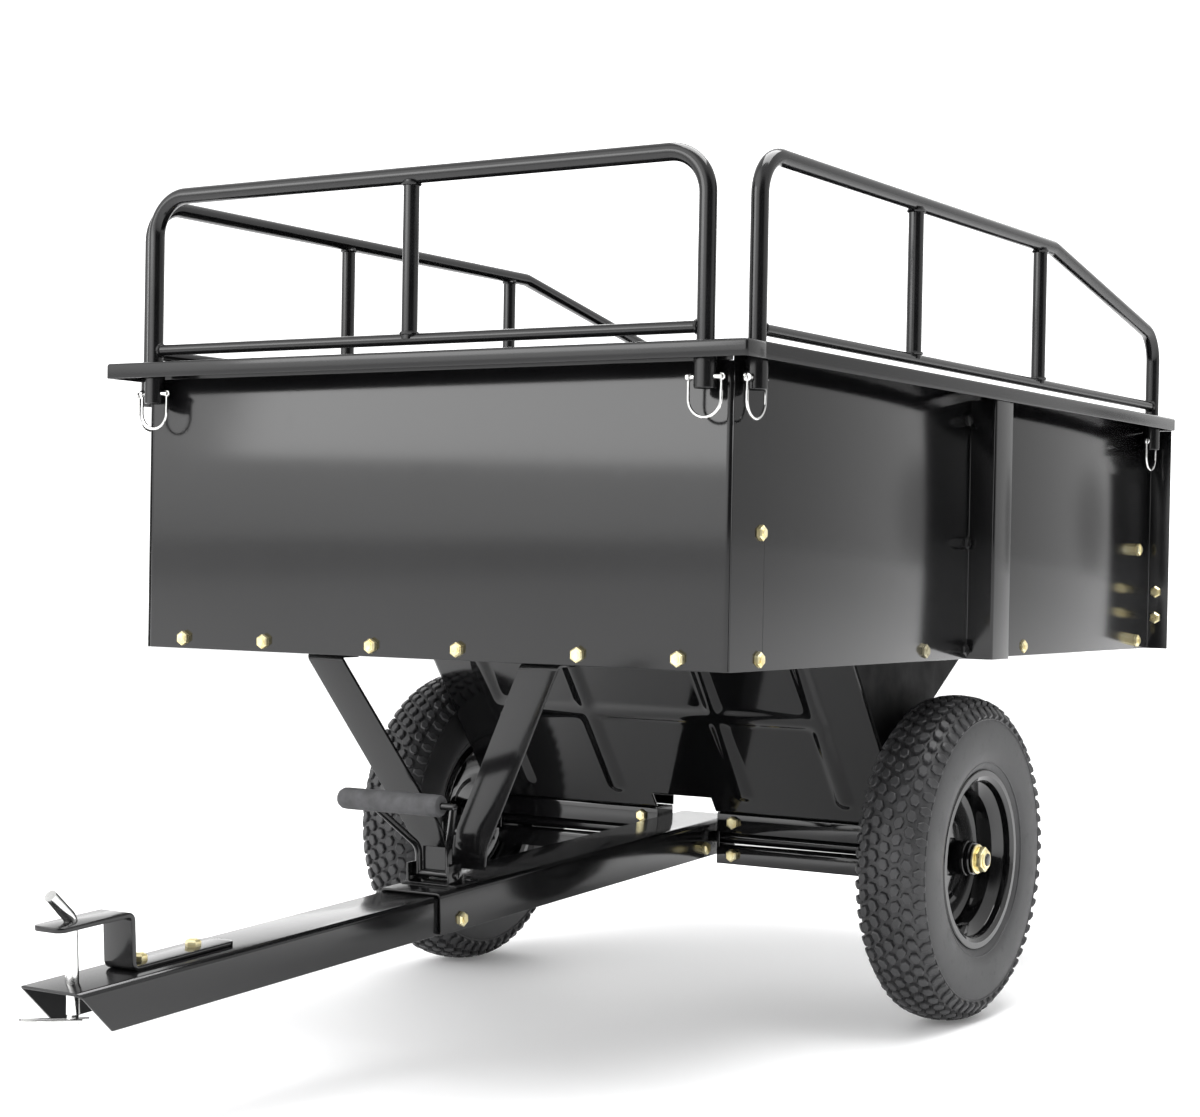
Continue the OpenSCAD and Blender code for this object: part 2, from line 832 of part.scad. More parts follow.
latch_handle();
latch_grip();
hitch_pin();
hitch_clip();
lock(front_leg, rail_y, 0);  // lock_front_left
lock(-front_leg, rail_y, 0);  // lock_front_right
lock(rail_x, side_leg, 90);  // lock_left_front
lock(rail_x, back_leg, 90);  // lock_left_rear
lock(-rail_x, side_leg, 90);  // lock_right_front
lock(-rail_x, back_leg, 90);  // lock_right_rear
tyre(1);  // tyre_left
tyre(-1);  // tyre_right
rim_wheel(1);  // rim_wheel_left
rim_wheel(-1);  // rim_wheel_right
hub(1);  // hub_left
hub(-1);  // hub_right
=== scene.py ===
import json
import math

import bmesh
import bpy
from mathutils import Matrix, Vector


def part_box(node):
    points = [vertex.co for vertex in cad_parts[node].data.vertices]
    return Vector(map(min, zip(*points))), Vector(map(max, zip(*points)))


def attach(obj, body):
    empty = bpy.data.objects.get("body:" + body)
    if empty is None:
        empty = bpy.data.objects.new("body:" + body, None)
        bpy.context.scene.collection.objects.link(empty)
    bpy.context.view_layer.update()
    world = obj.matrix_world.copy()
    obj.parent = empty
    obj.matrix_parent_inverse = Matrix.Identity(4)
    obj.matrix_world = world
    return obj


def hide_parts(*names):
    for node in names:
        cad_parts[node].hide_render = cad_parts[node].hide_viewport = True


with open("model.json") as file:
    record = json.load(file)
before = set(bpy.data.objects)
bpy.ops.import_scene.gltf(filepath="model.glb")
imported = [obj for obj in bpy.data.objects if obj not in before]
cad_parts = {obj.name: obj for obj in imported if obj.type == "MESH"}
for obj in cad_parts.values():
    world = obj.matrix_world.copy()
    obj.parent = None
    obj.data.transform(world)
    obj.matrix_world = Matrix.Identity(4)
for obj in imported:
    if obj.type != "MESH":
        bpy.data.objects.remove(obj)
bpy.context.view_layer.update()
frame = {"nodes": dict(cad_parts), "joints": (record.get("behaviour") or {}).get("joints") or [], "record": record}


lows = {name: Vector(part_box(name)[0]) for name in frame["nodes"]}
highs = {name: Vector(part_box(name)[1]) for name in frame["nodes"]}
joints = {joint["name"]: joint for joint in frame["joints"]}
wheelMid = (lows["tyre_left"] + highs["tyre_left"]) / 2
axleY, axleZ = wheelMid.y, wheelMid.z
lift = Vector(joints["hitch_pin_lift"]["axis"])          # square to the drawbar's top
slope = math.atan2(-lift.y, lift.z)
atAxle = Matrix.Translation((0, axleY, axleZ)) @ Matrix.Rotation(slope, 4, "X")
sides = {"+x": Vector((1, 0, 0)), "-x": Vector((-1, 0, 0)), "+y": Vector((0, 1, 0)),
         "-y": Vector((0, -1, 0)), "+z": Vector((0, 0, 1)), "-z": Vector((0, 0, -1))}


# ---- camera, world, lights ----

cameraView = {
    "place": (1.57079, -2.69542 + axleY, 0.56075),
    "yaw": 0.55667, "pitch": -0.0176, "roll": 0.0182,
    "lens": 70.014, "shift": (-0.02579, 0.04006),
}


def makeCamera(view):
    yaw, pitch, roll = view["yaw"], view["pitch"], view["roll"]
    forward = Vector((-math.sin(yaw) * math.cos(pitch), math.cos(yaw) * math.cos(pitch), math.sin(pitch)))
    level = Vector((math.cos(yaw), math.sin(yaw), 0))
    upright = level.cross(forward)
    right = level * math.cos(roll) + upright * math.sin(roll)
    up = upright * math.cos(roll) - level * math.sin(roll)
    data = bpy.data.cameras.new("viewCamera")
    data.lens, data.sensor_width = view["lens"], 36
    data.shift_x, data.shift_y = view["shift"]
    camera = bpy.data.objects.new("viewCamera", data)
    bpy.context.scene.collection.objects.link(camera)
    turned = Matrix((right, up, -forward)).transposed().to_4x4()
    camera.matrix_world = Matrix.Translation(view["place"]) @ turned
    bpy.context.scene.camera = camera


studio = {
    "base": 0.90,
    "lobes": [          # heading, inner and outer edge of the patch, strength in the middle
        ((-0.58, 0.80, 0.10), 0.94, 0.70, 1.75),
        ((0.80, -0.60, 0.05), 0.93, 0.70, 0.06),
        ((-0.36, -0.84, 0.38), 0.96, 0.66, 2.50),
        ((0.27, 0.96, 0.03), 0.9994, 0.9955, 0.46),
    ],
    "floorTone": (0.94, 0.94, 0.945), "floorGlow": 0.12,
    "lamps": [
        ("softBox", (-1.95, -3.55, 1.95), (0.05, -0.36, 0.66), (2.6, 1.3), 34),
        ("topBox", (0.4, 0.4, 3.4), (0, 0.2, 0.3), (2.4, 2.4), 130),
        ("backBox", (-1.8, 3.4, 2.2), (0, 0.3, 0.6), (2.0, 1.4), 26),
    ],
}


def makeStudio(kit):
    scene = bpy.context.scene
    scene.view_settings.view_transform = "Standard"
    scene.view_settings.look = "None"
    world = bpy.data.worlds.new("studioWorld")
    scene.world = world
    world.use_nodes = True
    tree = world.node_tree
    where = tree.nodes.new("ShaderNodeTexCoord")
    strength = tree.nodes.new("ShaderNodeValue")
    strength.outputs[0].default_value = kit["base"]
    strength = strength.outputs[0]
    for heading, inner, outer, level in kit["lobes"]:
        dot = tree.nodes.new("ShaderNodeVectorMath")
        dot.operation = "DOT_PRODUCT"
        dot.inputs[1].default_value = Vector(heading).normalized()
        tree.links.new(where.outputs["Generated"], dot.inputs[0])
        patch = tree.nodes.new("ShaderNodeMapRange")
        patch.interpolation_type = "SMOOTHSTEP"
        patch.inputs["From Min"].default_value = outer
        patch.inputs["From Max"].default_value = inner
        tree.links.new(dot.outputs["Value"], patch.inputs["Value"])
        blend = tree.nodes.new("ShaderNodeMix")
        blend.inputs["B"].default_value = level
        tree.links.new(patch.outputs["Result"], blend.inputs["Factor"])
        tree.links.new(strength, blend.inputs["A"])
        strength = blend.outputs["Result"]
    tree.links.new(strength, tree.nodes["Background"].inputs["Strength"])
    tree.nodes["Background"].inputs["Color"].default_value = (1, 1, 1, 1)
    for name, place, aim, size, power in kit["lamps"]:
        data = bpy.data.lights.new(name, "AREA")
        data.shape, data.energy = "RECTANGLE", power
        data.size, data.size_y = size
        lamp = bpy.data.objects.new(name, data)
        lamp.location = place
        lamp.rotation_euler = (Vector(aim) - Vector(place)).to_track_quat("-Z", "Y").to_euler()
        scene.collection.objects.link(lamp)
    bm = bmesh.new()
    bmesh.ops.create_circle(bm, cap_ends=True, segments=96, radius=14)
    mesh = bpy.data.meshes.new("studioFloor")
    bm.to_mesh(mesh)
    bm.free()
    floor = bpy.data.objects.new("studioFloor", mesh)
    scene.collection.objects.link(floor)
    paint = bpy.data.materials.new("paleFloor")
    paint.use_nodes = True
    shader = paint.node_tree.nodes["Principled BSDF"]
    shader.inputs["Base Color"].default_value = (*kit["floorTone"], 1)
    shader.inputs["Roughness"].default_value = 0.65
    shader.inputs["Emission Color"].default_value = (1, 1, 1, 1)
    shader.inputs["Emission Strength"].default_value = kit["floorGlow"]
    mesh.materials.append(paint)


makeCamera(cameraView)
makeStudio(studio)
print("camera and studio ready")


# ---- finishes ----

def noiseNode(tree, place, scale, detail=3.0, roughness=0.55):
    node = tree.nodes.new("ShaderNodeTexNoise")
    node.inputs["Scale"].default_value = scale
    node.inputs["Detail"].default_value = detail
    node.inputs["Roughness"].default_value = roughness
    tree.links.new(place.outputs["Object"], node.inputs["Vector"])
    return node


def rangeNode(tree, source, fromLow, fromHigh, toLow, toHigh):
    node = tree.nodes.new("ShaderNodeMapRange")
    for name, value in (("From Min", fromLow), ("From Max", fromHigh), ("To Min", toLow), ("To Max", toHigh)):
        node.inputs[name].default_value = value
    tree.links.new(source, node.inputs["Value"])
    return node.outputs["Result"]


def timesNode(tree, first, second):
    node = tree.nodes.new("ShaderNodeMath")
    node.operation = "MULTIPLY"
    tree.links.new(first, node.inputs[0])
    tree.links.new(second, node.inputs[1])
    return node.outputs[0]


def mixNode(tree, share, first, second):
    node = tree.nodes.new("ShaderNodeMix")
    node.data_type = "RGBA"
    tree.links.new(share, node.inputs["Factor"])
    for socket, value in ((node.inputs["A"], first), (node.inputs["B"], second)):
        if isinstance(value, tuple):
            socket.default_value = (*value, 1)
        else:
            tree.links.new(value, socket)
    return node.outputs["Result"]


def edgeMask(tree, radius):
    bevel = tree.nodes.new("ShaderNodeBevel")        # rounded normal minus true normal shows the edges
    bevel.samples = 4
    bevel.inputs["Radius"].default_value = radius
    geometry = tree.nodes.new("ShaderNodeNewGeometry")
    dot = tree.nodes.new("ShaderNodeVectorMath")
    dot.operation = "DOT_PRODUCT"
    tree.links.new(bevel.outputs["Normal"], dot.inputs[0])
    tree.links.new(geometry.outputs["Normal"], dot.inputs[1])
    return rangeNode(tree, dot.outputs["Value"], 0.99, 0.86, 0.0, 1.0)


def coatedFinish(name, kit):
    material = bpy.data.materials.new(name)
    material.use_nodes = True
    tree = material.node_tree
    shader = tree.nodes["Principled BSDF"]
    place = tree.nodes.new("ShaderNodeTexCoord")
    broad = noiseNode(tree, place, kit["broadScale"], 4)
    fine = noiseNode(tree, place, kit["grainScale"], 2, 0.5)
    scuffs = noiseNode(tree, place, kit["scuffScale"], 6, 0.7)
    tone = mixNode(tree, rangeNode(tree, broad.outputs["Fac"], 0.3, 0.7, 0, 1), kit["dark"], kit["light"])
    # lighter edges, gated by scuff noise: partly edge wear and partly a painted highlight along folds and rims
    if kit.get("edge"):
        edgeWearAndHighlight = timesNode(tree, edgeMask(tree, kit["edgeRadius"]),
                         rangeNode(tree, scuffs.outputs["Fac"], 0.42, 0.68, 0.0, kit["edgeShare"]))
        tone = mixNode(tree, edgeWearAndHighlight, tone, kit["edge"])
    tree.links.new(tone, shader.inputs["Base Color"])
    rough = tree.nodes.new("ShaderNodeMath")
    rough.operation = "ADD"
    tree.links.new(rangeNode(tree, broad.outputs["Fac"], 0.3, 0.7, *kit["rough"]), rough.inputs[0])
    tree.links.new(rangeNode(tree, scuffs.outputs["Fac"], 0.55, 0.75, 0.0, kit["scuffRough"]), rough.inputs[1])
    tree.links.new(rough.outputs[0], shader.inputs["Roughness"])
    grain = tree.nodes.new("ShaderNodeBump")
    grain.inputs["Strength"].default_value = kit["grainStrength"]
    grain.inputs["Distance"].default_value = kit["grainDepth"]
    tree.links.new(fine.outputs["Fac"], grain.inputs["Height"])
    wave = tree.nodes.new("ShaderNodeBump")          # slow waviness of pressed sheet
    wave.inputs["Strength"].default_value = kit["waveStrength"]
    wave.inputs["Distance"].default_value = kit["waveDepth"]
    tree.links.new(broad.outputs["Fac"], wave.inputs["Height"])
    tree.links.new(grain.outputs["Normal"], wave.inputs["Normal"])
    tree.links.new(wave.outputs["Normal"], shader.inputs["Normal"])
    for socket, value in kit.get("fixed", {}).items():
        shader.inputs[socket].default_value = value
    return material


powderCoat = {
    "dark": (0.0042, 0.0042, 0.0045), "light": (0.0068, 0.0068, 0.0072),
    "broadScale": 4.0, "grainScale": 1500.0, "scuffScale": 34.0,
    "rough": (0.115, 0.150), "scuffRough": 0.04,
    "grainStrength": 0.035, "grainDepth": 0.0002, "waveStrength": 0.10, "waveDepth": 0.0012,
    # edge colour is lighter than the coat: partly wear and partly painted highlight
    "edge": (0.05, 0.05, 0.052), "edgeRadius": 0.0013, "edgeShare": 0.5,
}
enamel = {**powderCoat, "dark": (0.0030, 0.0030, 0.0033), "light": (0.0052, 0.0052, 0.0056),
          "rough": (0.06, 0.10), "scuffRough": 0.05, "grainStrength": 0.02, "waveStrength": 0.25,
          "fixed": {"IOR": 1.6}}
tubeCoat = {**powderCoat, "rough": (0.13, 0.18), "broadScale": 12.0, "waveStrength": 0.04}
# painted shade: a near-black rough finish for inner walls and the gussets, darkening places that sit in shade
paintedShadeInside = {**powderCoat, "dark": (0.0022, 0.0022, 0.0024), "light": (0.0040, 0.0040, 0.0042),
              "rough": (0.55, 0.70), "broadScale": 30.0, "fixed": {"Specular IOR Level": 0.2}}
blackBolt = {**powderCoat, "rough": (0.22, 0.30), "light": (0.012, 0.012, 0.012), "broadScale": 60.0}
yellowZinc = {
    "dark": (0.80, 0.65, 0.28), "light": (0.97, 0.91, 0.60), "broadScale": 120.0, "grainScale": 1800.0,
    "scuffScale": 200.0, "rough": (0.26, 0.36), "scuffRough": 0.10, "grainStrength": 0.05, "grainDepth": 0.0001,
    "waveStrength": 0.05, "waveDepth": 0.0002, "edge": (0.96, 0.95, 0.88), "edgeRadius": 0.0005, "edgeShare": 0.7,
    "fixed": {"Metallic": 0.85},
}
dullZinc = {**yellowZinc, "dark": (0.30, 0.27, 0.17), "light": (0.52, 0.48, 0.34), "rough": (0.35, 0.5)}
brightZinc = {**yellowZinc, "dark": (0.62, 0.62, 0.61), "light": (0.90, 0.90, 0.89), "rough": (0.12, 0.20),
              "broadScale": 60.0, "edge": (0.95, 0.95, 0.94), "grainStrength": 0.02, "scuffRough": 0.06,
              "fixed": {"Metallic": 1.0}}
tyreRubber = {
    "dark": (0.022, 0.022, 0.023), "light": (0.042, 0.042, 0.044), "broadScale": 22.0, "grainScale": 900.0,
    "scuffScale": 80.0, "rough": (0.42, 0.55), "scuffRough": 0.12, "grainStrength": 0.20, "grainDepth": 0.0004,
    "waveStrength": 0.12, "waveDepth": 0.0008, "edge": (0.070, 0.070, 0.072), "edgeRadius": 0.0012, "edgeShare": 0.8,
}
foamRubber = {**tyreRubber, "dark": (0.036, 0.036, 0.038), "light": (0.085, 0.085, 0.089), "grainScale": 600.0,
              "grainStrength": 0.6, "rough": (0.66, 0.82), "broadScale": 60.0}

finishes = {
    "coatedSteel": coatedFinish("coatedSteel", powderCoat),
    "glossEnamel": coatedFinish("glossEnamel", enamel),
    "coatedTube": coatedFinish("coatedTube", tubeCoat),
    "yellowZinc": coatedFinish("yellowZinc", yellowZinc),
    "brightZinc": coatedFinish("brightZinc", brightZinc),
    "tyreRubber": coatedFinish("tyreRubber", tyreRubber),
    "foamRubber": coatedFinish("foamRubber", foamRubber),
    "blackBolt": coatedFinish("blackBolt", blackBolt),
    "dullZinc": coatedFinish("dullZinc", dullZinc),
    "paintedShadeInside": coatedFinish("paintedShadeInside", paintedShadeInside),
}
slotFinish = {"coated_steel": "coatedSteel", "pressed_steel": "glossEnamel", "tube_steel": "coatedTube",
              "zinc_bolts": "yellowZinc", "plated_steel": "brightZinc", "tyre_rubber": "tyreRubber",
              "foam_grip": "foamRubber"}
for part in frame["record"]["subparts"]:
    shown = frame["nodes"][part["node"]]
    shown.data.materials.clear()
    shown.data.materials.append(finishes[slotFinish[part["material_slot"]]])
# painted shade: the gussets take the near-black inside finish because they sit in deep shade
for name in ("gusset_left", "gusset_right"):
    frame["nodes"][name].data.materials[0] = finishes["paintedShadeInside"]
print("finishes ready")


# ---- making pieces ----

def makePiece(name, bm, finish, body, nodes=(), wall=0.0, wallSide=-1, soften=0.0, sharp=35, inside=None):
    mesh = bpy.data.meshes.new(name)
    bm.to_mesh(mesh)
    bm.free()
    mesh.shade_smooth()
    mesh.set_sharp_from_angle(angle=math.radians(sharp))
    mesh.materials.append(finishes[finish])
    if inside:
        mesh.materials.append(finishes[inside])
    piece = bpy.data.objects.new(name, mesh)
    bpy.context.scene.collection.objects.link(piece)
    if wall:
        solid = piece.modifiers.new("sheetWall", "SOLIDIFY")
        solid.thickness, solid.offset, solid.use_even_offset = wall, wallSide, True
        solid.material_offset = 1 if inside else 0
    if soften:
        edge = piece.modifiers.new("softEdges", "BEVEL")
        edge.width, edge.segments, edge.limit_method = soften, 2, "ANGLE"
        edge.angle_limit = math.radians(40)
    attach(piece, body)
    if nodes:
        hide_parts(*nodes)
    return piece


def roundEdges(bm, edges, width, steps):
    bmesh.ops.bevel(bm, geom=list(edges), offset=width, segments=steps, affect="EDGES", profile=0.5, material=-1)


def foldedBox(low, high, openSides, fold, steps=4):
    # a box of thin sheet, open on the named sides, its folds rounded
    bm = bmesh.new()
    bmesh.ops.create_cube(bm, size=1)
    bmesh.ops.scale(bm, vec=Vector(high) - Vector(low), verts=bm.verts)
    bmesh.ops.translate(bm, vec=(Vector(low) + Vector(high)) / 2, verts=bm.verts)
    bm.normal_update()
    gone = [face for face in bm.faces if any(face.normal.dot(sides[side]) > 0.9 for side in openSides)]
    bmesh.ops.delete(bm, geom=gone, context="FACES")
    roundEdges(bm, [edge for edge in bm.edges if len(edge.link_faces) == 2], fold, steps)
    return bm


def foldedStrip(points, along, fold, steps=4):
    # a strip that follows the points, drawn out along one direction
    bm = bmesh.new()
    chain = [bm.verts.new(point) for point in points]
    edges = [bm.edges.new(pair) for pair in zip(chain, chain[1:])]
    made = bmesh.ops.extrude_edge_only(bm, edges=edges)
    bmesh.ops.translate(bm, vec=along, verts=[v for v in made["geom"] if isinstance(v, bmesh.types.BMVert)])
    folds = [edge for edge in bm.edges if len(edge.link_faces) == 2]
    if folds and fold:
        roundEdges(bm, folds, fold, steps)
    bm.normal_update()
    return bm


def joinShape(bm, other):
    mesh = bpy.data.meshes.new("joinedShape")
    other.to_mesh(mesh)
    other.free()
    bm.from_mesh(mesh)
    bpy.data.meshes.remove(mesh)


def lathe(points, centre, axis, steps=64, closed=True):
    # points are (radius, offset along the axis); turned once round
    bm = bmesh.new()
    axis = Vector(axis).normalized()
    across = axis.orthogonal().normalized()
    chain = [bm.verts.new(Vector(centre) + across * r + axis * a) for r, a in points]
    edges = [bm.edges.new(pair) for pair in zip(chain, chain[1:] + (chain[:1] if closed else []))]
    bmesh.ops.spin(bm, geom=chain + edges, cent=Vector(centre), axis=axis, angle=2 * math.pi,
                   steps=steps, use_merge=True, use_duplicate=False)
    bmesh.ops.remove_doubles(bm, verts=bm.verts, dist=1e-6)
    bmesh.ops.recalc_face_normals(bm, faces=bm.faces)
    return bm


def addRod(bm, start, end, radius, sides=20, chamfer=0.0, endRadius=None):
    start, end = Vector(start), Vector(end)
    turned = (end - start).to_track_quat("Z", "Y").to_matrix().to_4x4()
    made = bmesh.ops.create_cone(bm, cap_ends=True, segments=sides, radius1=radius,
                                 radius2=radius if endRadius is None else endRadius, depth=(end - start).length,
                                 matrix=Matrix.Translation((start + end) / 2) @ turned)
    if chamfer:
        rims = {edge for vert in made["verts"] for edge in vert.link_edges
                if any(len(face.verts) > 4 or sides < 5 for face in edge.link_faces)
                and edge.calc_face_angle(0) > 0.6}
        roundEdges(bm, [edge for edge in rims if any(len(f.verts) == sides for f in edge.link_faces)], chamfer, 2)
    return bm


def tubeAlong(bm, points, radius, bend, sides=20, bendSteps=10, plug=True):
    # sweeps a ring along the points, each corner turned on the bend radius
    points = [Vector(point) for point in points]
    headings = [(b - a).normalized() for a, b in zip(points, points[1:])]
    trims = [0.0]
    for before, after in zip(headings, headings[1:]):
        trims.append(bend * math.tan(before.angle(after) / 2))
    trims.append(0.0)
    facing = headings[0].to_track_quat("Z", "Y").to_matrix().to_4x4()
    made = bmesh.ops.create_circle(bm, segments=sides, radius=radius, matrix=Matrix.Translation(points[0]) @ facing)
    ring = list({edge for vert in made["verts"] for edge in vert.link_edges})
    first = list(ring)
    here = points[0]
    for i, heading in enumerate(headings):
        length = (points[i + 1] - points[i]).length - trims[i] - trims[i + 1]
        made = bmesh.ops.extrude_edge_only(bm, edges=ring)["geom"]
        ring = [item for item in made if isinstance(item, bmesh.types.BMEdge)]
        verts = [item for item in made if isinstance(item, bmesh.types.BMVert)]
        ring = [edge for edge in ring if all(vert in verts for vert in edge.verts)]
        bmesh.ops.translate(bm, vec=heading * length, verts=verts)
        here = here + heading * length
        if i + 1 < len(headings):
            after = headings[i + 1]
            axis = heading.cross(after).normalized()
            centre = here + axis.cross(heading) * bend
            angle = heading.angle(after)
            steps = max(2, round(bendSteps * angle / (math.pi / 2)))
            made = bmesh.ops.spin(bm, geom=ring + verts, cent=centre, axis=axis, angle=angle,
                                  steps=steps, use_merge=False, use_duplicate=False)["geom_last"]
            ring = [item for item in made if isinstance(item, bmesh.types.BMEdge)]
            here = centre + Matrix.Rotation(angle, 3, axis) @ (here - centre)
    if plug:
        for loop in (first, ring):
            bmesh.ops.edgeloop_fill(bm, edges=loop)
    bmesh.ops.recalc_face_normals(bm, faces=bm.faces)
    return bm


def addBolt(bm, place, outward, across=0.013, head=0.0062, washer=0.0):
    # hexagon head with a rounded top, standing on a thin washer
    place, outward = Vector(place), Vector(outward).normalized()
    if washer:
        addRod(bm, place, place + outward * 0.0014, washer, 24, 0.0003)
        place = place + outward * 0.0014
    radius = across / 2 * 1.1547
    addRod(bm, place, place + outward * head * 0.72, radius, 6)
    addRod(bm, place + outward * head * 0.72, place + outward * head, radius, 6, 0.0, radius * 0.76)
    addRod(bm, place + outward * (head - 0.0002), place + outward * (head + 0.0008), radius * 0.52, 12)


def addNut(bm, place, outward, across=0.013, shank=0.004):
    place, outward = Vector(place), Vector(outward).normalized()
    radius = across / 2 * 1.1547
    addRod(bm, place, place + outward * 0.0045, radius, 6)
    addRod(bm, place + outward * 0.0045, place + outward * 0.006, radius, 6, 0.0, radius * 0.8)
    addRod(bm, place + outward * 0.005, place + outward * (0.006 + shank), across * 0.29, 16, 0.0005)


def flip(point, side):
    return Vector((point[0] * side, point[1], point[2]))


# ---- bed ----

panel = {"wall": 0.002, "fold": 0.0035, "corner": 0.0075, "soft": 0.0005, "hem": 0.0012,
         "gateFold": 0.003, "hatFront": 0.030, "hatRear": 0.024, "hatFold": 0.0032, "postFold": 0.0034}


def makeBed():
    low, high = lows["front_panel"], highs["front_panel"]
    lip = highs["mid_post_left"].z
    bm = foldedBox(low, (high.x, high.y, lip), ("+z", "-z", "+y"), panel["corner"], 7)
    inner = highs["side_front_left"].x - 0.0002
    strip = foldedBox((-inner, low.y, lip), (inner, low.y + 0.1, high.z), ("+z", "-z", "+y", "+x", "-x"), 0)
    joinShape(bm, strip)
    makePiece("frontPanel", bm, "coatedSteel", "bed", ["front_panel"], panel["wall"], soften=0.0009)
    bm = bmesh.new()
    for side in (1, -1):        # rolled edge where the wrapped flange ends
        x = (high.x - panel["hem"] * 0.4) * side
        y = high.y - panel["hem"]
        addRod(bm, (x, y, low.z + 0.001), (x, y, lip - 0.001), panel["hem"], 12)
    makePiece("frontPanelHem", bm, "coatedSteel", "bed")
    for name, side in (("left", 1), ("right", -1)):
        for half in ("front", "rear"):
            node = "side_%s_%s" % (half, name)
            a, b = lows[node], highs[node]
            outer = b.x if side > 0 else a.x
            points = [(outer, a.y, a.z), (outer, b.y, a.z)]
            bm = foldedStrip(points, (0, 0, b.z - a.z), 0)
            makePiece("%sPanel%s" % (half, name.title()), bm, "coatedSteel", "bed", [node], panel["wall"],
                      wallSide=-side, soften=panel["soft"])
        makePosts(name, side)
    for node in ("floor_front", "floor_rear"):
        a, b = lows[node], highs[node]
        opened = ("+z", "+y") if node == "floor_front" else ("+z", "+y", "-y")
        bm = foldedBox(a, b, opened, panel["fold"])
        makePiece("floorFront" if node == "floor_front" else "floorRear", bm, "coatedSteel", "bed", [node],
                  panel["wall"], soften=panel["soft"])
    makeTailgate()


def makePosts(name, side):
    node = "mid_post_" + name
    a, b = lows[node], highs[node]
    wallX, outX = (a.x, b.x) if side > 0 else (b.x, a.x)
    skin = panel["wall"] * side
    y0, y5 = a.y, b.y
    hat = (axleY - panel["hatFront"], axleY + panel["hatRear"])
    points = [(wallX, y0, a.z), (wallX, hat[0], a.z), (outX - skin, hat[0], a.z), (outX - skin, hat[1], a.z),
              (wallX, hat[1], a.z), (wallX, y5, a.z)]
    bm = foldedStrip(points, (0, 0, b.z - a.z), panel["hatFold"])
    makePiece("midPost" + name.title(), bm, "coatedSteel", "bed", [node], panel["wall"], wallSide=side,
              soften=panel["soft"])
    node = "rear_post_" + name
    a, b = lows[node], highs[node]
    wallX = (highs["side_rear_left"].x) * side
    backX = (b.x if side > 0 else a.x)
    back = b.y - 0.004
    points = [(wallX, a.y, a.z), (wallX, back, a.z), (backX, back, a.z)]
    bm = foldedStrip(points, (0, 0, b.z - a.z), panel["postFold"])
    makePiece("rearPost" + name.title(), bm, "coatedSteel", "bed", [node], panel["wall"], wallSide=side,
              soften=panel["soft"])


def makeTailgate():
    a, b = lows["tailgate"], highs["tailgate"]
    bm = foldedBox(a, b, ("-y",), panel["gateFold"])
    makePiece("tailgatePan", bm, "coatedSteel", "tailgate", ["tailgate"], panel["wall"], soften=panel["soft"])


def makeRims():
    a, b = lows["rim_front"], highs["rim_front"]
    bm = foldedBox(a, b, ("-z", "+y"), panel["fold"])
    makePiece("rimFront", bm, "coatedSteel", "bed", ["rim_front"], panel["wall"], soften=panel["soft"])
    for name, side in (("left", 1), ("right", -1)):
        node = "rim_" + name
        a, b = lows[node], highs[node]
        inner = "-x" if side > 0 else "+x"
        bm = foldedBox(a, b, ("-z", "-y", inner), panel["fold"])
        makePiece("rim" + name.title(), bm, "coatedSteel", "bed", [node], panel["wall"], soften=panel["soft"])


makeBed()
makeRims()
print("bed ready")


# ---- rails ----

rail = {"radius": 0.0095, "bend": 0.045, "bar": 0.0065, "post": 0.009, "sides": 24,
        "slopeRun": 0.393, "slopeAngle": 11.5, "frontPost": 0.373, "rearPost": 0.042}


def addBeadRing(bm, centre, axis, radius, bead=0.0022, steps=28):
    # a weld bead round the foot of a tube
    axis = Vector(axis).normalized()
    across = axis.orthogonal().normalized()
    place = Matrix.Translation(Vector(centre) + across * radius)
    turned = axis.cross(across).to_track_quat("Z", "Y").to_matrix().to_4x4()
    ring = bmesh.ops.create_circle(bm, segments=8, radius=bead, matrix=place @ turned)["verts"]
    edges = list({edge for vert in ring for edge in vert.link_edges})
    bmesh.ops.spin(bm, geom=ring + edges, cent=Vector(centre), axis=axis, angle=2 * math.pi, steps=steps,
                   use_merge=True, use_duplicate=False)


